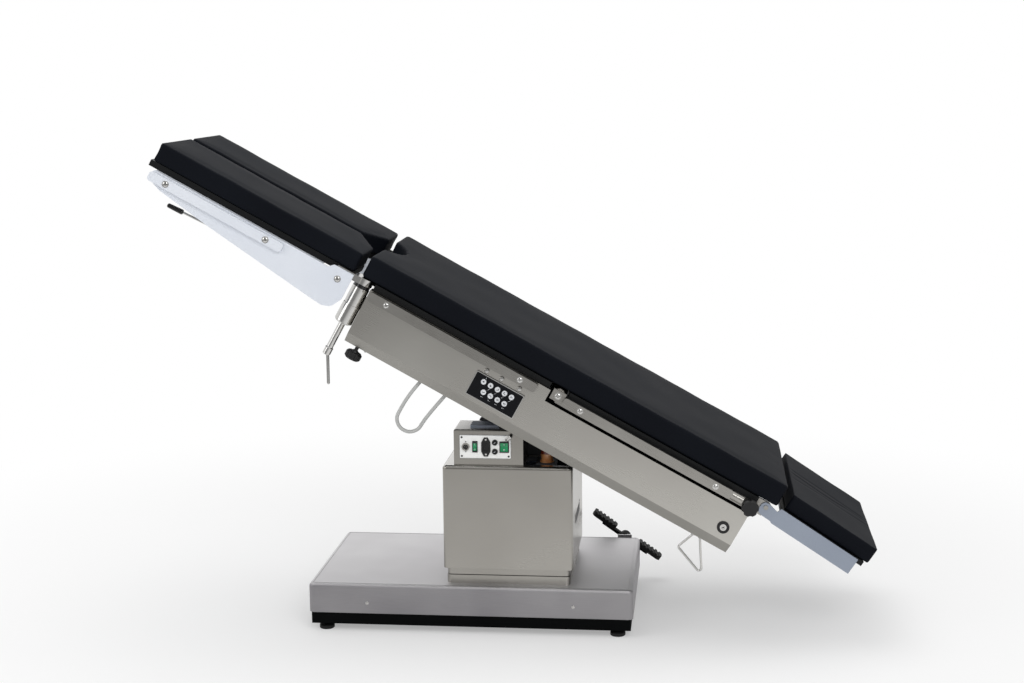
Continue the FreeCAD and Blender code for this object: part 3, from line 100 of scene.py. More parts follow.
def makeFinish(name, spec, angle=0.0):
    # fine grain (mm, stretched along one axis) and broad patches (mm) mix two colours and two
    # roughnesses; the grain also lifts the surface by bumpMm
    material = bpy.data.materials.new(name)
    material.use_nodes = True
    tree = material.node_tree
    tree.nodes.clear()
    coords = addNode(tree, "ShaderNodeTexCoord")
    grainScale = [1000 / spec["grainMm"] * share for share in spec.get("stretch", (1, 1, 1))]
    turned = addNode(tree, "ShaderNodeMapping", {"Vector": coords.outputs["Object"], "Rotation": (0, angle, 0)})
    scaled = addNode(tree, "ShaderNodeMapping", {"Vector": turned.outputs["Vector"], "Scale": grainScale})
    grain = addNode(tree, "ShaderNodeTexNoise", {"Vector": scaled.outputs["Vector"], "Scale": 1.0,
                                                 "Detail": spec.get("detail", 3.0), "Roughness": 0.6})
    patches = addNode(tree, "ShaderNodeTexNoise", {"Vector": coords.outputs["Object"],
                                                   "Scale": 1000 / spec["patchMm"], "Detail": 2.0})
    both = addNode(tree, "ShaderNodeMix", {0: spec.get("patchShare", 0.5), 2: grain.outputs["Fac"],
                                           3: patches.outputs["Fac"]}, data_type="FLOAT")
    spread = addNode(tree, "ShaderNodeMapRange", {"Value": both.outputs[0], "From Min": 0.35,
                                                  "From Max": 0.65})
    baseColour = mixPair(tree, spread, spec, "dark", "light")
    facing = addNode(tree, "ShaderNodeSeparateXYZ", {0: coords.outputs["Normal"]})
    # upward faces take a lighter pair, a painted highlight; downward faces a darker pair, a painted shade
    for side, slopes in (("top", (0.5, 0.95)), ("low", (-0.2, -0.45))):
        if side + "Light" in spec:  # faces that look up, or down, have a pair of their own
            share = addNode(tree, "ShaderNodeMapRange", {"Value": facing.outputs["Z"], "From Min": slopes[0],
                                                         "From Max": slopes[1]})
            baseColour = addNode(tree, "ShaderNodeMix", {
                0: share.outputs["Result"], 6: baseColour,
                7: mixPair(tree, spread, spec, side + "Dark", side + "Light")}, data_type="RGBA").outputs[2]
    if "inner" in spec:  # another colour inside a box or an ellipsoid of the turned coordinates
        inner = spec["inner"]
        moved = addNode(tree, "ShaderNodeVectorMath", {0: turned.outputs["Vector"], 1: inner["centre"]},
                        operation="SUBTRACT")
        inverse = [1 / half if half else 0.0 for half in inner["half"]]
        reach = addNode(tree, "ShaderNodeVectorMath", {0: moved.outputs["Vector"], 1: inverse},
                        operation="MULTIPLY")
        if inner.get("box"):
            size = addNode(tree, "ShaderNodeVectorMath", {0: reach.outputs["Vector"]}, operation="ABSOLUTE")
            axes = addNode(tree, "ShaderNodeSeparateXYZ", {0: size.outputs["Vector"]})
            pair = addNode(tree, "ShaderNodeMath", {0: axes.outputs["X"], 1: axes.outputs["Y"]},
                           operation="MAXIMUM")
            away = addNode(tree, "ShaderNodeMath", {0: pair.outputs[0], 1: axes.outputs["Z"]},
                           operation="MAXIMUM").outputs[0]
        else:
            away = addNode(tree, "ShaderNodeVectorMath", {0: reach.outputs["Vector"]},
                           operation="LENGTH").outputs["Value"]
        inside = addNode(tree, "ShaderNodeMath", {0: away, 1: 1.0}, operation="LESS_THAN").outputs[0]
        baseColour = addNode(tree, "ShaderNodeMix", {0: inside, 6: baseColour,
                                                     7: mixPair(tree, spread, inner, "dark", "light")},
                             data_type="RGBA").outputs[2]
    rough = addNode(tree, "ShaderNodeMapRange", {"Value": both.outputs[0], "From Min": 0.3, "From Max": 0.7,
                                                 "To Min": spec["roughness"][0], "To Max": spec["roughness"][1]})
    bump = addNode(tree, "ShaderNodeBump", {"Height": grain.outputs["Fac"], "Strength": spec.get("bump", 0.3),
                                            "Distance": spec.get("bumpMm", 0.05) / 1000})
    constants = {"Metallic": spec.get("metallic", 0.0), "Coat Weight": spec.get("coat", 0.0),
                 "Coat Roughness": 0.1, "Specular IOR Level": spec.get("level", 0.5)}
    if "ior" in spec:
        constants["IOR"] = spec["ior"]
    shader = addNode(tree, "ShaderNodeBsdfPrincipled", constants)
    tree.links.new(baseColour, shader.inputs["Base Color"])
    if "inner" in spec and inner.get("metallic", 0.0) != spec.get("metallic", 0.0):
        metal = addNode(tree, "ShaderNodeMapRange", {"Value": inside, "To Min": spec.get("metallic", 0.0),
                                                     "To Max": inner.get("metallic", 0.0)})
        tree.links.new(metal.outputs["Result"], shader.inputs["Metallic"])
    tree.links.new(rough.outputs["Result"], shader.inputs["Roughness"])
    tree.links.new(bump.outputs["Normal"], shader.inputs["Normal"])
    addNode(tree, "ShaderNodeOutputMaterial", {"Surface": shader.outputs["BSDF"]})
    return material


# each entry starts from the real material; scratches and grains finer than the render can show
# are drawn a few times coarser
finishSpecs = {
    # 304 stainless sheet, brushed along its length: warm grey, long faint scratches, soft reflections
    "brushedStainless": {"light": "#a9a6a0", "dark": "#999690", "metallic": 1.0, "roughness": (0.26, 0.34),
                         "grainMm": 0.9, "stretch": (0.03, 1, 1), "patchMm": 420, "patchShare": 0.86,
                         "bump": 0.1, "bumpMm": 0.01},
    # the same sheet on the column and its head, with a lighter pair on the faces that look up: painted highlight
    "columnStainless": {"light": "#aba8a2", "dark": "#9b9892", "topLight": "#dddbd8", "topDark": "#d0cecb",
                        "metallic": 1.0, "roughness": (0.22, 0.3), "grainMm": 0.9, "stretch": (0.03, 1, 1),
                        "patchMm": 420, "patchShare": 0.86, "bump": 0.1, "bumpMm": 0.01},
    # the same sheet folded into the long covers, a little brighter: painted light; darker facing the floor:
    # painted shade
    "coverStainless": {"light": "#c2c0ba", "dark": "#b5b2ac", "lowLight": "#979590", "lowDark": "#8b8984",
                       "metallic": 1.0, "roughness": (0.24, 0.32),
                       "grainMm": 0.9, "stretch": (0.03, 1, 1), "patchMm": 380, "patchShare": 0.86,
                       "bump": 0.1, "bumpMm": 0.01},
    # the same sheet on the base, slightly violet, with faint smears; sides darker, painted shade; tops lighter,
    # painted highlight
    "baseStainless": {"light": "#a3a1a3", "dark": "#8d8b8e", "topLight": "#cfcecf", "topDark": "#bfbdbf",
                      "metallic": 1.0, "roughness": (0.44, 0.58), "grainMm": 1.1, "stretch": (0.04, 1, 1),
                      "patchMm": 230, "patchShare": 0.8, "bump": 0.1, "bumpMm": 0.01},
    # bright-drawn stainless flat bar, fine ground
    "groundStainless": {"light": "#adaba6", "dark": "#9c9994", "metallic": 1.0, "roughness": (0.24, 0.32),
                        "grainMm": 1.0, "stretch": (0.03, 1, 1), "patchMm": 120, "patchShare": 0.5,
                        "bump": 0.15, "bumpMm": 0.015},
    # turned and polished stainless: clear reflections with faint lathe rings
    "polishedStainless": {"light": "#cfcecc", "dark": "#bfbebb", "metallic": 1.0, "roughness": (0.1, 0.18),
                          "grainMm": 1.0, "stretch": (1, 1, 0.3), "patchMm": 60, "patchShare": 0.3,
                          "bump": 0.1, "bumpMm": 0.01},
    # blasted and clear anodised aluminium: cool blue-grey, even and soft
    "anodisedAluminium": {"light": "#a3abb8", "dark": "#969eac", "metallic": 0.85, "roughness": (0.4, 0.5),
                          "grainMm": 0.8, "patchMm": 150, "patchShare": 0.4, "bump": 0.2, "bumpMm": 0.02},
    # powder coat, near white with a cool cast: very fine orange peel
    "whitePowderCoat": {"light": "#dfe3ea", "dark": "#d5dae3", "roughness": (0.34, 0.44), "grainMm": 1.8,
                        "patchMm": 200, "ior": 1.5, "bump": 0.25, "bumpMm": 0.03},
    # stove enamel on the frames: matt black
    "blackEnamel": {"light": "#08090a", "dark": "#040505", "roughness": (0.5, 0.62), "level": 0.04,
                    "grainMm": 1.5, "patchMm": 120, "ior": 1.5, "bump": 0.3, "bumpMm": 0.03},
    # sand-cast iron under grey machine paint
    "machinePaint": {"light": "#4a4c50", "dark": "#3c3e41", "roughness": (0.45, 0.6), "grainMm": 2.5,
                     "patchMm": 60, "ior": 1.5, "bump": 0.5, "bumpMm": 0.12},
    # polyurethane-coated upholstery: blue-black, satin, finely pebbled
    "coatedUpholstery": {"light": "#101319", "dark": "#0c0e14", "roughness": (0.6, 0.7), "level": 0.07,
                         "grainMm": 1.1, "patchMm": 260, "patchShare": 0.55, "ior": 1.48, "bump": 0.25,
                         "bumpMm": 0.04, "detail": 2.0},
    # compact laminate board: black, sawn edge
    "compactLaminate": {"light": "#0e0f11", "dark": "#090a0b", "roughness": (0.42, 0.54), "level": 0.25,
                        "grainMm": 0.7, "patchMm": 90, "ior": 1.5, "bump": 0.2, "bumpMm": 0.02},
    # moulded nylon knobs and grips: black with a spark-eroded texture; also the painted shade of the slot and the
    # hole in the column's side
    "mouldedNylonAndShade": {"light": "#131314", "dark": "#0b0b0c", "roughness": (0.42, 0.56), "level": 0.4,
                     "grainMm": 0.7, "patchMm": 40, "ior": 1.53, "bump": 0.4, "bumpMm": 0.04},
    # moulded rubber: dull, slightly chalky on the high spots
    "mouldedRubber": {"light": "#151515", "dark": "#090909", "roughness": (0.6, 0.8), "level": 0.3,
                      "grainMm": 1.2, "patchMm": 30, "ior": 1.52, "bump": 0.4, "bumpMm": 0.06},
    # silk-screened polycarbonate panel: white, satin
    "panelWhite": {"light": "#eeeeec", "dark": "#e6e6e4", "roughness": (0.35, 0.42), "grainMm": 0.6,
                   "patchMm": 60, "ior": 1.58, "bump": 0.1, "bumpMm": 0.01},
    # rocker of black nylon with a lit green window
    "rockerGreen": {"light": "#101112", "dark": "#0b0c0d", "roughness": (0.25, 0.34), "grainMm": 3,
                    "patchMm": 12, "ior": 1.53, "bump": 0.1, "bumpMm": 0.01,
                    "inner": {"box": True, "centre": (-0.0274, 0, 0.4975), "half": (0.0098, 0, 0.0112),
                              "light": "#15935a", "dark": "#0c6f42"}},
    # polyester membrane over the keypad: matt black
    "membraneBlack": {"light": "#101115", "dark": "#0b0c0f", "roughness": (0.4, 0.5), "level": 0.1,
                      "grainMm": 0.8, "patchMm": 50, "ior": 1.6, "bump": 0.2, "bumpMm": 0.015},
    # button caps and printed marks, pale grey
    "buttonPale": {"light": "#d9dbdd", "dark": "#c9ccd0", "roughness": (0.3, 0.4), "grainMm": 0.8,
                   "patchMm": 10, "ior": 1.5, "bump": 0.1, "bumpMm": 0.01},
    # screen ink, dark grey; also the painted shade of the key switch's slot
    "darkInkAndShade": {"light": "#3a3c40", "dark": "#2d2f33", "roughness": (0.45, 0.55), "grainMm": 0.8,
                "patchMm": 10, "ior": 1.5, "bump": 0.1, "bumpMm": 0.01},
    # turned brass terminal with a dark red cap, under clear lacquer
    "lacqueredBrass": {"light": "#7a2a18", "dark": "#5d1d10", "roughness": (0.16, 0.26), "grainMm": 4,
                  "patchMm": 15, "ior": 1.49, "coat": 0.4, "bump": 0.1, "bumpMm": 0.02,
                  "inner": {"box": True, "centre": (0, 0, 0.452), "half": (0, 0, 0.0155),
                            "light": "#f2b27c", "dark": "#d98a4a"}},
    # extruded PVC jacket, pale grey
    "greyPvc": {"light": "#b9bab8", "dark": "#a9aaa8", "roughness": (0.34, 0.46), "grainMm": 1.5,
                "patchMm": 30, "ior": 1.53, "bump": 0.2, "bumpMm": 0.02},
    # die-cast gearmotor, silver lacquer
    "silverLacquer": {"light": "#9a9c9f", "dark": "#8b8d90", "metallic": 0.6, "roughness": (0.36, 0.48),
                      "grainMm": 1.4, "patchMm": 50, "bump": 0.3, "bumpMm": 0.04},
    # moulded ABS cover, pale grey; also the painted highlight on the fuse caps' slots
    "paleAbsAndHighlight": {"light": "#c3c6ca", "dark": "#b7babe", "roughness": (0.4, 0.5), "grainMm": 1.2, "patchMm": 40,
                "ior": 1.53, "bump": 0.3, "bumpMm": 0.03},
}
finishes = {name: makeFinish(name, spec) for name, spec in finishSpecs.items()}
for name in ("coverStainless", "groundStainless", "polishedStainless"):
    finishes[name + "Tilted"] = makeFinish(name + "Tilted", finishSpecs[name], -tilt)


def levelled(u, y, n):
    # a place on the table in the coordinates of a tilted finish
    return tuple(Matrix.Rotation(-tilt, 4, "Y") @ tableFrame @ Vector((u, y, n)))


def variant(name, base, angle=0.0, **inner):
    # a finish with another colour in one place
    finishes[name] = makeFinish(name,
                                {**finishSpecs[base], "inner": {**finishSpecs[base].get("inner", {}), **inner}},
                                angle)


nylonBlack = {"light": "#131314", "dark": "#0b0b0c", "metallic": 0.0}
variant("powerRocker", "rockerGreen")
variant("breakerRocker", "rockerGreen", centre=(-0.1044, 0, 0.4975), half=(0.0046, 0, 0.0098))
variant("gripNear", "polishedStainless", -tilt, centre=levelled(-0.504, -0.259, -0.144), half=(0.0235,) * 3,
        **nylonBlack)
variant("gripFar", "polishedStainless", -tilt, centre=levelled(-0.504, 0.259, -0.144), half=(0.0235,) * 3,
        **nylonBlack)
variant("barrelStainless", "polishedStainless", -tilt, box=True, centre=levelled(0.013, 0, -0.0845),
        half=(0, 0, 0.0055), **nylonBlack)

nodeFinishes = {
    "baseStainless": ["base_cover"],
    "brushedStainless": ["lower_sleeve", "middle_sleeve"],
    "columnStainless": ["column_cover", "head_housing"],
    "coverStainlessTilted": ["side_covers"],
    "groundStainlessTilted": ["seat_rails", "back_frame", "key_switch"],
    "polishedStainlessTilted": ["leg_knuckle_near", "leg_knuckle_far", "wire_hook"],
    "polishedStainless": ["tommy_bar_near", "tommy_bar_far"],
    "anodisedAluminium": ["head_frame", "middle_guide"],
    "whitePowderCoat": ["leg_plate_near", "leg_plate_far"],
    "blackEnamel": ["base_frame", "table_frame", "pedal_arm"],
    "machinePaint": ["head_casting", "tilt_cross"],
    "silverLacquer": ["roll_drive", "back_drive"],
    "compactLaminate": ["seat_board", "back_board", "head_board", "leg_board_near", "leg_board_far"],
    "mouldedNylonAndShade": ["head_knob", "leg_knob_near", "leg_knob_far", "panel_sockets"],
    "mouldedRubber": ["levelling_feet", "pedal_pads"],
    "panelWhite": ["panel_plate"],
    "powerRocker": ["power_rocker"],
    "breakerRocker": ["breaker_rocker"],
    "membraneBlack": ["keypad"],
    "buttonPale": [f"button_{i}" for i in range(1, 10)],
    "lacqueredBrass": ["tilt_motor"],
    "gripNear": ["release_lever_near"],
    "gripFar": ["release_lever_far"],
    "barrelStainless": ["leg_barrels"],
}
for name, labels in nodeFinishes.items():
    for label in labels:
        nodes[label].data.materials.clear()
        nodes[label].data.materials.append(finishes[name])
print("finishes made:", len(finishes))


# ---- mesh helpers: all points are in metres in a level drawing frame, then placed by its matrix

def newPiece(name, points, faces, material, body, place=levelFrame, smooth=True):
    # mesh piece with its place in its mesh, doubles merged and faces turned outwards
    mesh = bpy.data.meshes.new(name)
    placed = np.c_[points, np.ones(len(points))] @ np.array(place).T
    mesh.from_pydata(placed[:, :3].tolist(), [], [list(face) for face in faces])
    work = bmesh.new()
    work.from_mesh(mesh)
    bmesh.ops.remove_doubles(work, verts=work.verts, dist=1e-6)
    bmesh.ops.dissolve_degenerate(work, edges=work.edges, dist=1e-7)
    bmesh.ops.recalc_face_normals(work, faces=work.faces)
    work.to_mesh(mesh)
    work.free()
    piece = bpy.data.objects.new(name, mesh)
    scene.collection.objects.link(piece)
    if smooth:
        mesh.shade_smooth()
        mesh.set_sharp_from_angle(angle=math.radians(35))
    mesh.materials.append(finishes[material] if isinstance(material, str) else material)
    if body:
        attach(piece, body)
    return piece


def gridFaces(rows, columns, wrap=True):
    # quads between neighbouring rows of points, closing each row on itself when wrap is set
    row = np.arange(rows - 1)[:, None] * columns
    column = np.arange(columns if wrap else columns - 1)[None, :]
    after = (column + 1) % columns
    corners = [row + column, row + after, row + columns + after, row + columns + column]
    return np.stack([corner.ravel() for corner in corners], axis=1).tolist()


def lathePoints(profile, steps=32, hexRows=()):
    # profile rows (radius, height) turned about Z; rows in hexRows follow a hexagon whose
    # inner radius is the row's radius: r / cos(angle folded into +-30 degrees)
    angles = np.linspace(0, math.tau, steps, endpoint=False)
    rows = np.asarray(profile, float)
    spread = np.ones((len(rows), steps))
    folded = (angles + math.pi / 6) % (math.pi / 3) - math.pi / 6
    spread[list(hexRows)] = 1 / np.cos(folded)
    x = rows[:, :1] * spread * np.cos(angles)
    y = rows[:, :1] * spread * np.sin(angles)
    z = np.repeat(rows[:, 1:], steps, axis=1)
    return np.stack([x, y, z], axis=-1).reshape(-1, 3), gridFaces(len(rows), steps)


def joinShapes(shapes):
    # several (points, faces) as one
    points, faces, start = [], [], 0
    for shapePoints, shapeFaces in shapes:
        points.append(shapePoints)
        faces += [[index + start for index in face] for face in shapeFaces]
        start += len(shapePoints)
    return np.concatenate(points), faces


def aimed(shape, at, direction):
    # turns a shape's Z axis towards direction and moves its zero to a point
    points, faces = shape
    turn = np.array(Vector((0, 0, 1)).rotation_difference(Vector(direction)).to_matrix())
    return points @ turn.T + np.asarray(at), faces


def roundedOutline(width, height, radius, steps=6):
    # rectangle about zero with quarter circles of the radius at its corners
    quarter = np.linspace(0, math.pi / 2, steps)
    corners = []
    for turn, (sx, sy) in enumerate(((1, 1), (-1, 1), (-1, -1), (1, -1))):
        centre = np.array([sx * (width / 2 - radius), sy * (height / 2 - radius)])
        angles = quarter + turn * math.pi / 2
        corners.append(centre + radius * np.c_[np.cos(angles), np.sin(angles)])
    return np.concatenate(corners)


def plateShape(outline, thickness, edge):
    # flat plate from z 0 to its thickness with a bevel round its top edge: the outline is drawn in
    # by the edge width over the last of the height
    outline = np.asarray(outline)
    middle = outline.mean(axis=0)
    span = np.abs(outline - middle).max(axis=0)
    drawn = middle + (outline - middle) * (1 - edge / span)
    rows = [(outline, 0), (outline, thickness - edge), (drawn, thickness)]
    points = np.concatenate([np.c_[line, np.full(len(line), z)] for line, z in rows])
    count = len(outline)
    faces = gridFaces(3, count)
    faces += [list(range(count))[::-1], list(range(2 * count, 3 * count))]
    return points, faces


def mergeInto(name, shapes, material, body, place=levelFrame, smooth=True):
    # several shapes as one piece
    points, faces = joinShapes(shapes)
    return newPiece(name, points, faces, material, body, place, smooth)


# ---- camera, fitted to the photograph's viewing angle

camera = {"place": (0.47136, -4.51694, 1.47260), "yaw": -6.314, "pitch": 9.146, "roll": -0.548, "lens": 59.85}
yaw, pitch, roll = (math.radians(camera[key]) for key in ("yaw", "pitch", "roll"))
forward = Vector((math.sin(yaw) * math.cos(pitch), math.cos(yaw) * math.cos(pitch), -math.sin(pitch)))
level = Vector((math.cos(yaw), -math.sin(yaw), 0))
plumb = level.cross(forward)
right = math.cos(roll) * level + math.sin(roll) * plumb
above = -math.sin(roll) * level + math.cos(roll) * plumb
lens = bpy.data.cameras.new("camera")
lens.lens = camera["lens"]
lens.sensor_width = 36
viewer = bpy.data.objects.new("camera", lens)
turn = Matrix((right, above, -forward)).transposed().to_4x4()
viewer.matrix_world = Matrix.Translation(camera["place"]) @ turn
scene.collection.objects.link(viewer)
scene.camera = viewer

# ---- control cable: the same route as the solid, as one smooth curve

cable = {"diameter": 0.0095, "length": 0.4375, "points": [
    (0.268, -0.230, -0.17033), (0.2675, -0.2315, -0.193), (0.265, -0.2355, -0.219), (0.2595, -0.2405, -0.244),
    (0.2545, -0.244, -0.270), (0.2515, -0.246, -0.297), (0.2508, -0.247, -0.3205), (0.251, -0.247, -0.3477),
    (0.2703, -0.247, -0.367), (0.2977, -0.2465, -0.367), (0.317, -0.246, -0.3477), (0.318, -0.2455, -0.322),
    (0.322, -0.2445, -0.297), (0.327, -0.2425, -0.272), (0.3325, -0.240, -0.247), (0.338, -0.2365, -0.222),
    (0.342, -0.2325, -0.197), (0.343, -0.230, -0.17033)]}
curve = bpy.data.curves.new("control_cord", "CURVE")
curve.dimensions = "3D"
curve.bevel_depth = cable["diameter"] / 2
curve.bevel_resolution = 6
curve.use_fill_caps = True
curve.resolution_u = 12
spline = curve.splines.new("NURBS")
spline.points.add(len(cable["points"]) - 1)
route = [tableFrame @ Vector(point) for point in cable["points"]]
for knot, place in zip(spline.points, route):
    knot.co = (*place, 1)
spline.order_u = 3
spline.use_endpoint_u = True
controlCord = bpy.data.objects.new("control_cord", curve)
scene.collection.objects.link(controlCord)
curve.materials.append(finishes["greyPvc"])
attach(controlCord, "tabletop")
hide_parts("control_cable")
print("cable made")

# ---- pads

padSize = {"halfWidth": 0.268, "thickness": 0.062, "seatLength": 1.216, "cutHalf": 0.095, "cutDepth": 0.049,
           "legStart": 0.017, "legEnd": 0.612, "legInner": 0.012, "legTop": -0.008, "legBottom": -0.062,
           "chamferU": 0.060, "chamferY": 0.105, "headStart": 0.043, "headEnd": 0.300, "headTop": 0.066,
           "headBottom": 0.019, "headHalf": 0.248, "inset": 0.0015, "voxel": 0.008, "pressure": 4.0,
           "edgeCap": 0.0004, "cap": 0.003, "capReach": 0.045, "unevenness": 0.0004, "snap": 0.67,
           "droop": 0.0012, "frames": 20, "alongWave": 23, "acrossWave": 31, "shortWave": 57, "shortShare": 0.6}


def wallDistance(points, outline):
    # distance to the nearest side of the outline, and the point on it: the projection onto each
    # side, kept between its ends
    ends = np.roll(outline, -1, axis=0) - outline
    away = points[:, None, :2] - outline[None]
    along = np.clip((away * ends).sum(-1) / (ends ** 2).sum(-1), 0, 1)
    foot = outline[None] + along[..., None] * ends[None]
    distances = np.linalg.norm(points[:, None, :2] - foot, axis=-1)
    nearest = distances.argmin(axis=1)
    rows = np.arange(len(points))
    return distances[rows, nearest], foot[rows, nearest]


def padForm(name, outline, low, high):
    # closed block from a plan outline between two heights, remeshed evenly; points less than two
    # thirds of a voxel from a face or a side are put onto it, which keeps the sewn edges crisp
    outline = np.asarray(outline)
    count = len(outline)
    points = np.concatenate([np.c_[outline, np.full(count, z)] for z in (low, high)])
    faces = [[i, (i + 1) % count, count + (i + 1) % count, count + i] for i in range(count)]
    faces += [list(range(count))[::-1], list(range(count, 2 * count))]
    mesh = bpy.data.meshes.new(name)
    mesh.from_pydata(points.tolist(), [], faces)
    block = bpy.data.objects.new(name, mesh)
    scene.collection.objects.link(block)
    remesh = block.modifiers.new("remesh", "REMESH")
    remesh.mode = "VOXEL"
    remesh.voxel_size = padSize["voxel"]
    applyModifiers(block)
    points = coordinates(block)
    distance, foot = wallDistance(points, outline)
    points[:, :2] = np.where((distance < padSize["voxel"] * padSize["snap"])[:, None], foot, points[:, :2])
    for level in (low, high):
        close = np.abs(points[:, 2] - level) < padSize["voxel"] * padSize["snap"]
        points[:, 2] = np.where(close, level, points[:, 2])
    setCoordinates(block, points)
    return block


def applyModifiers(piece):
    depsgraph = bpy.context.evaluated_depsgraph_get()
    mesh = bpy.data.meshes.new_from_object(piece.evaluated_get(depsgraph), depsgraph=depsgraph)
    piece.modifiers.clear()
    old = piece.data
    piece.data = mesh
    bpy.data.meshes.remove(old)


def coordinates(piece):
    values = np.zeros(len(piece.data.vertices) * 3)
    piece.data.vertices.foreach_get("co", values)
    return values.reshape(-1, 3)


def setCoordinates(piece, points):
    piece.data.vertices.foreach_set("co", np.ascontiguousarray(points).ravel())
    piece.data.update()


def inflate(piece, outline, low, high):
    # foam under a tight cover: cloth with air pressure and no gravity; a point may move by a cap that
    # grows from the sewn edges to the middle of each face
    before = coordinates(piece)
    cloth = piece.modifiers.new("cover", "CLOTH")
    settings = cloth.settings
    settings.use_pressure = True
    settings.uniform_pressure_force = padSize["pressure"]
    settings.effector_weights.gravity = 0
    settings.quality = 4
    cloth.point_cache.frame_start = 1
    cloth.point_cache.frame_end = padSize["frames"]
    for step in range(1, padSize["frames"] + 1):
        scene.frame_set(step)
    depsgraph = bpy.context.evaluated_depsgraph_get()
    swollen = piece.evaluated_get(depsgraph).to_mesh()
    after = np.zeros(len(before) * 3)
    swollen.vertices.foreach_get("co", after)
    piece.modifiers.clear()
    scene.frame_set(1)
    moved = after.reshape(-1, 3) - before
    length = np.linalg.norm(moved, axis=1, keepdims=True)
    walls, _ = wallDistance(before, np.asarray(outline))
    gaps = np.sort(np.c_[walls, np.abs(before[:, 2:] - (low, high))], axis=1)
    share = np.clip(gaps[:, 1:2] / padSize["capReach"], 0, 1)
    cap = padSize["edgeCap"] + (padSize["cap"] - padSize["edgeCap"]) * share * (2 - share)
    points = before + moved * np.minimum(1, cap / np.maximum(length, 1e-9))
    points[:, 2] = np.maximum(points[:, 2], low - padSize["droop"])
    setCoordinates(piece, points)
    relax = piece.modifiers.new("relax", "SMOOTH")
    relax.iterations = 1
    relax.factor = 0.4
    finer = piece.modifiers.new("finer", "SUBSURF")
    finer.levels = finer.render_levels = 1
    applyModifiers(piece)
    # long shallow waves where the foam gives: sin(along) sin(across) + share * sin(along, shorter)
    points = coordinates(piece)
    along, across = points[:, 0], points[:, 1]
    waves = np.sin(along * padSize["alongWave"] + 1.3) * np.sin(across * padSize["acrossWave"] + 0.4)
    waves += padSize["shortShare"] * np.sin(along * padSize["shortWave"])
    top = np.clip((points[:, 2] - high + 0.006) / 0.004, 0, 1)
    points[:, 2] += top * waves * padSize["unevenness"]
    setCoordinates(piece, points)


def finishPad(piece, place, body):
    points = coordinates(piece)
    setCoordinates(piece, (np.c_[points, np.ones(len(points))] @ np.array(place).T)[:, :3])
    piece.data.shade_smooth()
    piece.data.materials.clear()
    piece.data.materials.append(finishes["coatedUpholstery"])
    if body:
        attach(piece, body)


def bodyOutline():
    # plan of the seat and back pad: a rectangle whose leg end has a circular bite
    half, length, inset = padSize["halfWidth"] - padSize["inset"], padSize["seatLength"], padSize["inset"]
    chord, depth = padSize["cutHalf"], padSize["cutDepth"]
    radius = (chord ** 2 + depth ** 2) / (2 * depth)
    reach = math.asin(chord / radius)
    angles = np.linspace(-reach, reach, 21)
    bite = np.c_[depth - radius + radius * np.cos(angles) + inset, radius * np.sin(angles)]
    corners = [(inset, -half), (length - inset, -half), (length - inset, half), (inset, half)]
    return np.concatenate([corners, bite[::-1]])


def legOutline(side):
    inset = padSize["inset"]
    start, end = padSize["legStart"] + inset, padSize["legEnd"] - inset
    inner, outer = padSize["legInner"] + inset, padSize["halfWidth"] - inset
    corners = [(-end, outer), (-end, inner), (-start - padSize["chamferU"], inner),
               (-start, padSize["legInner"] + padSize["chamferY"]), (-start, outer)]
    return np.array(corners) * (1, side)


def makePad(name, outline, low, high, place, body, stands):
    inset = padSize["inset"]
    piece = padForm(name, outline, low + inset, high - inset)
    inflate(piece, outline, low + inset, high - inset)
    if name == "pad_head":
        creasePad(piece)
    finishPad(piece, place, body)
    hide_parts(*stands)
    return piece


def creasePad(piece):
    # shallow creases along the head pad: each lowers the cover by depth * exp(-(offset / width)^2),
    # where the offset is taken from a line that wanders across as it goes along
    points = coordinates(piece)
    along = (points[:, 0] - padSize["headStart"]) / (padSize["headEnd"] - padSize["headStart"])
    top = np.clip((points[:, 2] - padSize["headTop"] + 0.006) / 0.004, 0, 1)
    for middle, slant, wander, depth, width in headCreases:
        line = middle + slant * along + wander * np.sin(along * 9 + middle * 60)
        ends = np.clip(along / 0.08, 0, 1) * np.clip((1 - along) / 0.1, 0, 1)
        points[:, 2] -= top * ends * depth * np.exp(-((points[:, 1] - line) / width) ** 2)
    setCoordinates(piece, points)


# middle, slant, wander, depth and width of each crease, in metres
headCreases = ((0.060, -0.022, 0.003, 0.0016, 0.009), (0.012, 0.004, 0.006, 0.0020, 0.008),
               (-0.034, 0.012, 0.003, 0.0010, 0.008))
headOutline = [(padSize["headStart"] + padSize["inset"], -padSize["headHalf"] + padSize["inset"]),
               (padSize["headEnd"] - padSize["inset"], -padSize["headHalf"] + padSize["inset"]),
               (padSize["headEnd"] - padSize["inset"], padSize["headHalf"] - padSize["inset"]),
               (padSize["headStart"] + padSize["inset"], padSize["headHalf"] - padSize["inset"])]
bodyPad = makePad("pad_seat_back", bodyOutline(), -padSize["thickness"], 0, tableFrame, None,
                  ("seat_pad", "pad_fold", "back_pad"))
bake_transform(bodyPad)
makePad("pad_head", headOutline, padSize["headBottom"], padSize["headTop"], headFrame, "head", ("head_pad",))
for name, side in (("near", -1), ("far", 1)):
    makePad(f"pad_leg_{name}", legOutline(side), padSize["legBottom"], padSize["legTop"], tableFrame,
            f"leg_{name}", (f"leg_pad_{name}",))
print("pads made")


# ---- fasteners

screw = {"radius": 0.0062, "height": 0.0022, "dome": 0.0005, "socket": 0.0026, "socketDepth": 0.0018,
         "washerRadius": 0.0078, "washerHeight": 0.0008}


def screwShape(scale=1.0, washer=True):
    # button-head screw: domed disc with a hexagon socket, on a thin washer, standing on z = 0
    r, h, d = screw["radius"] * scale, screw["height"] * scale, screw["dome"] * scale
    s, deep = screw["socket"] * scale, screw["socketDepth"] * scale
    w, t = screw["washerRadius"] * scale, screw["washerHeight"] * scale
    foot = [(0, 0), (w, 0), (w, t * 0.7), (w - t * 0.3, t), (r, t)] if washer else [(0, 0), (r, 0)]
    rows = foot + [(r, h - d), (r - d, h), (s * 1.25, h + d), (s, h), (s, h - deep), (0, h - deep)]
    last = len(rows)
    return lathePoints(rows, 24, hexRows=(last - 3, last - 2))


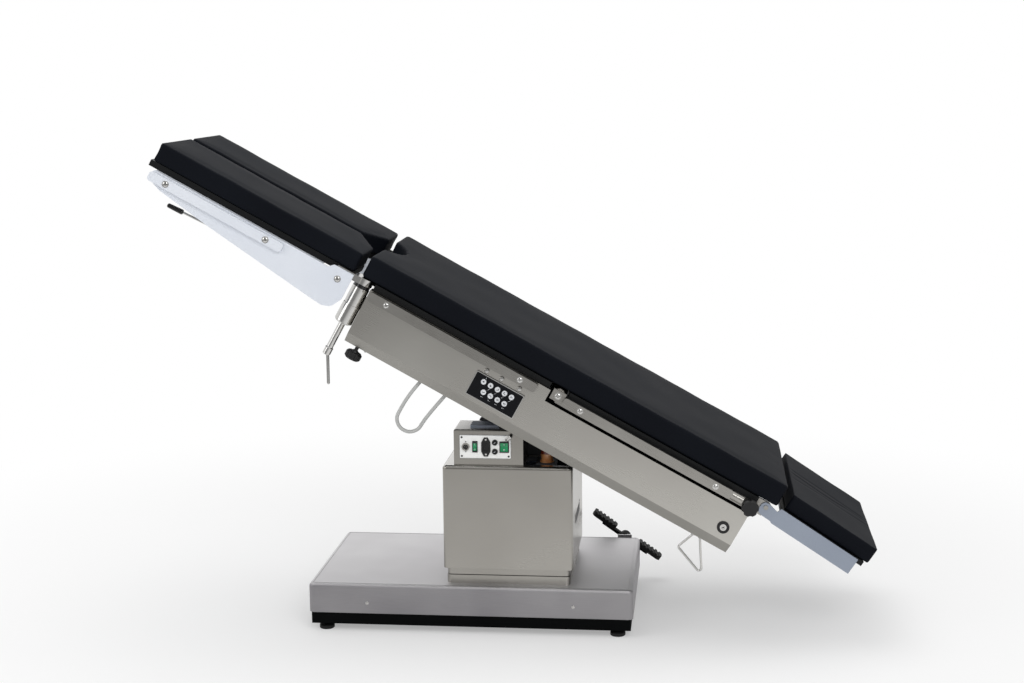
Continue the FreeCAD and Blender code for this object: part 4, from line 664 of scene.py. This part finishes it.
def screwRow(name, spots, direction, material, body, place, scale=1.0, washer=True):
    shapes = [aimed(screwShape(scale, washer), spot, direction) for spot in spots]
    return mergeInto(name, shapes, material, body, place)


near, far = (0, -1, 0), (0, 1, 0)
railFace, hingeFace, gussetFace = 0.293, 0.280, 0.281
screwSpots = {  # places on the table, scale and body
    "seat_rail": ([(0.096, -railFace, -0.0915), (0.485, -railFace, -0.0915)], 1.05, "tabletop"),
    "back_rail": ([(0.657, -railFace, -0.0865), (1.049, -railFace, -0.0865)], 1.05, "back"),
    "hinge": ([(0.590, -hingeFace, -0.083)], 1.2, "back"),
    "leg_rail": ([(-0.547, -railFace, -0.0945), (-0.255, -railFace, -0.0945)], 1.15, "leg"),
    "gusset": ([(-0.047, -gussetFace, -0.095)], 1.15, "leg"),
}
for label, (spots, scale, body) in screwSpots.items():
    for name, way in (("near", near), ("far", far)):
        mirror = np.array([1, -way[1], 1])
        screwRow(f"screws_{label}_{name}", np.array(spots) * mirror, way, "polishedStainlessTilted",
                 f"leg_{name}" if body == "leg" else body, tableFrame, scale)
screwRow("screws_base_front", [(-0.272, -0.258, 0.080), (0.273, -0.258, 0.083)], near, "polishedStainless",
         "base", baseFrame, 0.7, False)
print("fasteners made")

# ---- keypad: silver edge, marks and button symbols

keys = {"u": 0.447, "n": -0.1595, "face": -0.280, "length": 0.137, "height": 0.067, "edge": 0.0016,
        "pitch": 0.0203, "buttonFace": -0.2815}


def onFace(shape, u, y, n):
    # a flat shape drawn in x and y with its thickness in z is stood on a face that looks to -Y
    points, faces = shape
    return np.c_[points[:, 0] + u, y - points[:, 2], points[:, 1] + n], faces


def frameShape(outer, inner, thickness):
    # flat ring between two outlines with the same number of points
    rows = [(outer, 0), (outer, thickness), (inner, thickness), (inner, 0)]
    points = np.concatenate([np.c_[line, np.full(len(line), z)] for line, z in rows])
    count = len(outer)
    faces = gridFaces(4, count)
    faces += [[3 * count + i, 3 * count + (i + 1) % count, (i + 1) % count, i] for i in range(count)]
    return points, faces


def bar(x, y, length, width, angle=0.0, thickness=0.00025):
    # thin rounded bar turned by an angle in its plane
    outline = roundedOutline(length, width, min(length, width) * 0.45, 4)
    turn = np.array([[math.cos(angle), math.sin(angle)], [-math.sin(angle), math.cos(angle)]])
    return plateShape(outline @ turn + (x, y), thickness, thickness * 0.4)


def triangle(x, y, size, angle=0.0):
    # three-sided mark whose point lies at the angle
    turns = angle + np.array([0, 2, 4]) * math.pi / 3
    return plateShape(np.c_[x + size * np.cos(turns), y + size * np.sin(turns)], 0.00025, 0.00008)


def onTable(name, shapes, material, u, y, n, smooth=True):
    # flat shapes on a face of the tabletop
    return mergeInto(name, [onFace(shape, u, y, n) for shape in shapes], material, "tabletop", tableFrame, smooth)


outerEdge = roundedOutline(keys["length"] + 0.0008, keys["height"] + 0.0008, 0.003)
innerEdge = roundedOutline(keys["length"] - 2 * keys["edge"], keys["height"] - 2 * keys["edge"], 0.0018)
onTable("keypad_edge", [frameShape(outerEdge, innerEdge, 0.0006)], "polishedStainlessTilted", keys["u"],
        keys["face"] + 0.0001, keys["n"])

buttonPlaces = [(keys["u"] + (column - 2) * keys["pitch"], keys["n"] + 0.0155) for column in range(5)]
buttonPlaces += [(keys["u"] + (column - 1.5) * keys["pitch"] + 0.002, keys["n"] - 0.0085)
                 for column in range(4)]
up, down, behind = math.pi / 2, -math.pi / 2, math.pi
symbols = [  # up, down, both ways, tilted to each side, level, and so on: plain arrows and bars
    [triangle(0, 0.0006, 0.0034, up)],
    [triangle(0, -0.0006, 0.0034, down)],
    [bar(0, -0.0016, 0.0080, 0.0013, 0.35), triangle(0.0012, 0.0018, 0.0020, up)],
    [bar(0, -0.0016, 0.0080, 0.0013, -0.35), triangle(-0.0012, 0.0018, 0.0020, up)],
    [bar(0, -0.0012, 0.0084, 0.0013, 0.5), bar(-0.0016, 0.0014, 0.0040, 0.0013, -0.5)],
    [bar(-0.0018, -0.0008, 0.0050, 0.0013, 0.0), bar(0.0020, 0.0006, 0.0046, 0.0013, 0.7)],
    [bar(-0.0018, 0.0010, 0.0050, 0.0013, 0.0), bar(0.0020, -0.0006, 0.0046, 0.0013, -0.7)],
    [bar(0, 0.0002, 0.0082, 0.0013), triangle(0, 0.0024, 0.0015, down), triangle(0, -0.0020, 0.0015, up)],
    [triangle(-0.0010, 0, 0.0030, behind), bar(0.0026, 0, 0.0012, 0.0052)],
]
for index, ((u, n), shapes) in enumerate(zip(buttonPlaces, symbols), start=1):
    mergeInto(f"symbol_{index}", [onFace(shape, u, keys["buttonFace"], n) for shape in shapes], "darkInkAndShade",
              f"button_{index}", tableFrame, smooth=False)
marks = [bar(u - keys["u"] - 0.002 + 0.010, -0.0035 + 0.007, 0.0105, 0.0005, 1.05) for u, n in buttonPlaces[5:]]
marks += [triangle(u - keys["u"], -0.0215, 0.0016, up if index % 2 else down)
          for index, (u, n) in enumerate(buttonPlaces[5:])]
marks += [bar(u - keys["u"] + 0.0034, -0.0215, 0.0030, 0.0007) for u, n in buttonPlaces[5:]]
marks += [triangle(buttonPlaces[0][0] - keys["u"] + 0.002, 0.0262, 0.0013, up)]
onTable("keypad_marks", marks, "buttonPale", keys["u"], keys["face"], keys["n"], smooth=False)
print("keypad made")

# ---- key switch: black bezel, a turned core, and its slot as a dark plate: painted shade

keySwitch = {"u": 1.120, "n": -0.173, "wall": -0.275}
bezel = lathePoints([(0.0094, 0), (0.016, 0), (0.016, 0.0032), (0.0152, 0.0042), (0.0122, 0.0046),
                     (0.0104, 0.0040), (0.0094, 0.0026), (0.0094, 0)], 48)
core = lathePoints([(0, 0.0002), (0.0092, 0.0002), (0.0092, 0.0030), (0.0086, 0.0036), (0.0046, 0.0036),
                    (0.0042, 0.0031), (0, 0.0031)], 40)
# the slot is a dark flat plate on the core: painted shade of the keyway
slot = joinShapes([bar(0, 0, 0.0074, 0.0017, 0.9, 0.0005), bar(0, 0, 0.0034, 0.0034, 0.0, 0.0005)])
keyPlace = (keySwitch["u"], keySwitch["wall"], keySwitch["n"])
bezelPiece = onTable("key_bezel", [bezel], "mouldedNylonAndShade", *keyPlace)
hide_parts("key_switch")
onTable("key_core", [core], "polishedStainlessTilted", *keyPlace)
onTable("key_slot_painted_shade", [slot], "darkInkAndShade", keySwitch["u"], keySwitch["wall"] - 0.0031, keySwitch["n"])

# ---- spacer bushes that show under the seat rail

bushes = [(0.400, -0.1185), (0.443, -0.1180), (0.495, -0.1185)]
bush = lathePoints([(0, 0), (0.0062, 0), (0.0062, 0.0052), (0.0050, 0.0070), (0, 0.0076)], 28)
mergeInto("rail_bushes", [onFace(bush, u, -0.275, n + 0.0035) for u, n in bushes], "polishedStainlessTilted",
          "tabletop", tableFrame)

# ---- connection panel: screws, rocker marks, inlet screws, fuse caps, socket ring and earth stud

panel = {"face": -0.217, "x": 0.042, "z": 0.4975, "width": 0.134, "height": 0.061, "screwInset": 0.0055,
         "socketX": -0.009, "inletX": 0.044, "fuseX": 0.0675, "fuseReach": 0.012}
reachX, reachZ = (panel[size] / 2 - panel["screwInset"] for size in ("width", "height"))
panelSpots = [(panel["x"] + sx * reachX, panel["face"], panel["z"] + sz * reachZ)
              for sx in (-1, 1) for sz in (-1, 1)]
screwRow("screws_panel", panelSpots, near, "mouldedNylonAndShade", "column_head", baseFrame, 0.42, False)
panelEdge = frameShape(roundedOutline(panel["width"], panel["height"], 0.002),
                       roundedOutline(panel["width"] - 0.0016, panel["height"] - 0.0016, 0.0014), 0.0002)


def onPanel(name, shapes, material, x, z, lift=0.0):
    # flat shapes on the connection panel, lifted off its face
    placed = [onFace(shape, x, panel["face"] - lift, z) for shape in shapes]
    return mergeInto(name, placed, material, "column_head", baseFrame)


onPanel("panel_edge", [panelEdge], "paleAbsAndHighlight", panel["x"], panel["z"])
screwRow("screws_inlet",
         [(panel["inletX"], panel["face"] - 0.003, panel["z"] + side * 0.0195) for side in (-1, 1)],
         near, "polishedStainless", "column_head", baseFrame, 0.40, False)
screwRow("screws_socket", [(panel["socketX"], panel["face"], panel["z"] + side * 0.0135) for side in (-1, 1)],
         near, "darkInkAndShade", "column_head", baseFrame, 0.24, False)
socketRing = lathePoints([(0.0070, 0), (0.0070, 0.0054), (0.0078, 0.0058), (0.0098, 0.0056), (0.0102, 0.0048),
                          (0.0102, 0), (0.0070, 0)], 40)
pins = [aimed(lathePoints([(0, 0), (0.0009, 0), (0.0009, 0.0026), (0.0005, 0.0030), (0, 0.0030)], 10),
              (0.0034 * math.cos(turn), 0.0034 * math.sin(turn), 0.0004), (0, 0, 1))
        for turn in np.linspace(0.4, 0.4 + math.tau, 5, endpoint=False)]
key = bar(0, 0.0062, 0.0030, 0.0016, 0.0, 0.0040)
onPanel("socket_ring", [socketRing, key], "groundStainless", panel["socketX"], panel["z"], -0.0001)
onPanel("socket_pins", pins, "polishedStainless", panel["socketX"], panel["z"])
fuseCap = lathePoints([(0, 0), (0.0058, 0), (0.0058, 0.0040), (0.0050, 0.0046), (0.0036, 0.0046),
                       (0.0034, 0.0040), (0, 0.0040)], 24)
# the pale bar on each black fuse cap stands for its slot: painted highlight
fuseSlotHighlight = bar(0, 0, 0.0058, 0.0013, 0.6, 0.0004)
for label, side in (("lower", -1), ("upper", 1)):
    place = (panel["fuseX"], panel["z"] + side * panel["fuseReach"])
    onPanel(f"fuse_cap_{label}", [fuseCap], "mouldedNylonAndShade", *place, 0.003)
    onPanel(f"fuse_slot_painted_highlight_{label}", [fuseSlotHighlight], "paleAbsAndHighlight", *place, 0.0071)


rocker = {"half": 0.0135, "upperRise": 0.003, "lowerRise": 0.002, "powerX": 0.092, "breakerX": 0.015}


def rockerMark(name, body, x, circleRadius):
    # a bar on the upper half and a ring on the lower half, each laid on its sloping face
    half = rocker["half"]
    upper, lower = math.atan2(rocker["upperRise"], half), -math.atan2(rocker["lowerRise"], half)
    circle = np.linspace(0, math.tau, 20, endpoint=False)
    ring = frameShape(circleRadius * np.c_[np.cos(circle), np.sin(circle)],
                      (circleRadius - 0.0007) * np.c_[np.cos(circle), np.sin(circle)], 0.0002)
    shapes = []
    for shape, slope, z, y in ((bar(0, 0, 0.0008, 0.0052, 0.0, 0.0002), upper, half / 2, -0.0035),
                               (ring, lower, -half / 2, -0.0030)):
        points, faces = onFace(shape, 0, 0, 0)
        turn = np.array(Matrix.Rotation(slope, 3, "X"))
        shapes.append((points @ turn.T + (x, panel["face"] + y, panel["z"] + z), faces))
    mergeInto(name, shapes, "buttonPale", body, baseFrame, smooth=False)


rockerMark("power_mark", "power_rocker", rocker["powerX"], 0.0024)
rockerMark("breaker_mark", "breaker_rocker", rocker["breakerX"], 0.0019)

studAim = Vector((0.56, -0.50, 0.66)).normalized()
stud = lathePoints([(0, 0), (0.0060, 0), (0.0060, 0.0018), (0.0044, 0.0026), (0.0044, 0.0110), (0.0050, 0.0116),
                    (0.0050, 0.0190), (0.0042, 0.0202), (0.0026, 0.0202), (0.0022, 0.0190), (0, 0.0190)], 28)
mergeInto("earth_stud", [aimed(stud, (0.0995, panel["face"] + 0.0012, 0.5150), studAim)], "polishedStainless",
          "column_head", baseFrame)
print("panel made")

# ---- column: bridge plate on the head housing; painted shade of a cable slot and screw hole on the right side

bridge = {"x": 0.0365, "y": -0.151, "length": 0.077, "width": 0.052, "thickness": 0.005, "corner": 0.002}
housingTop = max(vertex.co.z for vertex in nodes["head_housing"].data.vertices)
bridgeOutline = roundedOutline(bridge["length"], bridge["width"], bridge["corner"])
plate, plateFaces = plateShape(bridgeOutline, bridge["thickness"], 0.0008)
newPiece("bridge_plate", plate + (bridge["x"], bridge["y"], housingTop), plateFaces, "anodisedAluminium",
         "column_head", baseFrame)
sidePlate = {"x": 0.2710, "slot": (-0.059, 0.2845), "slotSize": (0.142, 0.023), "hole": (0.012, 0.300)}


def onSide(shape, x, y, z):
    # the same as onFace for a face that looks to +X
    points, faces = shape
    return np.c_[x + points[:, 2], y + points[:, 0], z + points[:, 1]], faces


# flat black plates on the side face: painted shade where the cable slot and the screw hole open
slotShadeStrip = plateShape(roundedOutline(*sidePlate["slotSize"], 0.004), 0.0008, 0.0003)
mergeInto("side_slot_painted_shade", [onSide(slotShadeStrip, sidePlate["x"], *sidePlate["slot"]),
                        onSide(bar(0, 0, 0.0064, 0.0064, 0.0, 0.0006), sidePlate["x"], *sidePlate["hole"])],
          "mouldedNylonAndShade", "column_head", baseFrame)

# ---- studio: pale floor fading into white, three soft lamps

studio = {"floor": "#f4f4f4", "floorHalf": 20.0, "fadeFrom": 0.5, "fadeTo": 2.6, "nearShare": 0.35,
          "worldGrey": 0.55, "frontNear": 1.0, "frontFar": 0.32, "frontReach": (1.3, 5.0), "backGrey": 1.0,
          "lamps": [("key", (1.6, -4.2, 3.2), 2.4, 80), ("top", (-0.6, 0.6, 4.2), 3.0, 60),
                    ("fill", (-3.6, -2.8, 2.4), 2.2, 30)]}


def mixShade(tree, share, first, second):
    return addNode(tree, "ShaderNodeMixShader", {0: share, 1: first.outputs[0], 2: second.outputs[0]})


def makeFloor():
    half = studio["floorHalf"]
    mesh = bpy.data.meshes.new("floor")
    corners = [(-half, -half, 0), (half, -half, 0), (half, half, 0), (-half, half, 0)]
    mesh.from_pydata(corners, [], [(0, 1, 2, 3)])
    floor = bpy.data.objects.new("floor", mesh)
    scene.collection.objects.link(floor)
    material = bpy.data.materials.new("paleFloor")
    material.use_nodes = True
    tree = material.node_tree
    tree.nodes.clear()
    # seen from afar the floor turns white, and keeps the object's shadow near it; a reflection of it
    # darkens with the distance, as in a room whose lamps stand close to the object
    coords = addNode(tree, "ShaderNodeTexCoord")
    distance = addNode(tree, "ShaderNodeVectorMath", {0: coords.outputs["Object"]}, operation="LENGTH")
    fade = addNode(tree, "ShaderNodeMapRange",
                   {"Value": distance.outputs["Value"], "From Min": studio["fadeFrom"],
                                                "From Max": studio["fadeTo"], "To Min": studio["nearShare"]},
                   interpolation_type="SMOOTHSTEP")
    dim = addNode(tree, "ShaderNodeMapRange", {"Value": distance.outputs["Value"],
                                               "From Min": studio["frontReach"][0],
                                               "From Max": studio["frontReach"][1],
                                               "To Min": studio["frontNear"], "To Max": studio["frontFar"]})
    rays = addNode(tree, "ShaderNodeLightPath")
    seen = addNode(tree, "ShaderNodeMath", {0: rays.outputs["Is Camera Ray"], 1: rays.outputs["Is Glossy Ray"]},
                   operation="MAXIMUM")
    share = addNode(tree, "ShaderNodeMath", {0: fade.outputs["Result"], 1: seen.outputs["Value"]},
                    operation="MULTIPLY")
    matt = addNode(tree, "ShaderNodeBsdfDiffuse", {"Color": linear(studio["floor"])})
    white = addNode(tree, "ShaderNodeEmission", {"Color": (1, 1, 1, 1), "Strength": 1.0})
    room = addNode(tree, "ShaderNodeEmission", {"Color": (1, 1, 1, 1), "Strength": dim.outputs["Result"]})
    backdrop = mixShade(tree, rays.outputs["Is Glossy Ray"], white, room)
    both = mixShade(tree, share.outputs["Value"], matt, backdrop)
    addNode(tree, "ShaderNodeOutputMaterial", {"Surface": both.outputs["Shader"]})
    mesh.materials.append(material)


def makeWorld():
    world = bpy.data.worlds.new("studio")
    world.use_nodes = True
    tree = world.node_tree
    tree.nodes.clear()
    rays = addNode(tree, "ShaderNodeLightPath")
    seen = addNode(tree, "ShaderNodeMath",
                   {0: rays.outputs["Is Camera Ray"], 1: rays.outputs["Is Transmission Ray"]},
                   operation="MAXIMUM")
    glossy = addNode(tree, "ShaderNodeMath", {0: seen.outputs["Value"], 1: rays.outputs["Is Glossy Ray"]},
                     operation="MAXIMUM")
    # the side that the camera of the photograph stands on is the darker end of the room in reflections
    direction = addNode(tree, "ShaderNodeSeparateXYZ",
                        {0: addNode(tree, "ShaderNodeTexCoord").outputs["Generated"]})
    depth = addNode(tree, "ShaderNodeMapRange",
                    {"Value": direction.outputs["Y"], "From Min": -0.9, "From Max": 0.0,
                                                 "To Min": studio["frontFar"], "To Max": studio["backGrey"]})
    grey = studio["worldGrey"]
    light = addNode(tree, "ShaderNodeBackground", {"Color": (grey, grey, grey, 1), "Strength": 1.0})
    white = addNode(tree, "ShaderNodeBackground", {"Color": (1, 1, 1, 1), "Strength": 1.0})
    room = addNode(tree, "ShaderNodeBackground", {"Color": (1, 1, 1, 1), "Strength": depth.outputs["Result"]})
    backdrop = mixShade(tree, rays.outputs["Is Glossy Ray"], white, room)
    both = mixShade(tree, glossy.outputs["Value"], light, backdrop)
    addNode(tree, "ShaderNodeOutputWorld", {"Surface": both.outputs["Shader"]})
    scene.world = world


def makeLamps():
    for name, place, across, power in studio["lamps"]:
        lamp = bpy.data.lights.new(name, "AREA")
        lamp.shape = "SQUARE"
        lamp.size = across
        lamp.energy = power
        holder = bpy.data.objects.new(name, lamp)
        aim = Vector((0, 0, 0.6)) - Vector(place)
        holder.matrix_world = Matrix.Translation(place) @ aim.to_track_quat("-Z", "Y").to_matrix().to_4x4()
        scene.collection.objects.link(holder)


makeFloor()
makeWorld()
makeLamps()
scene.view_settings.view_transform = "Standard"
print("studio made")
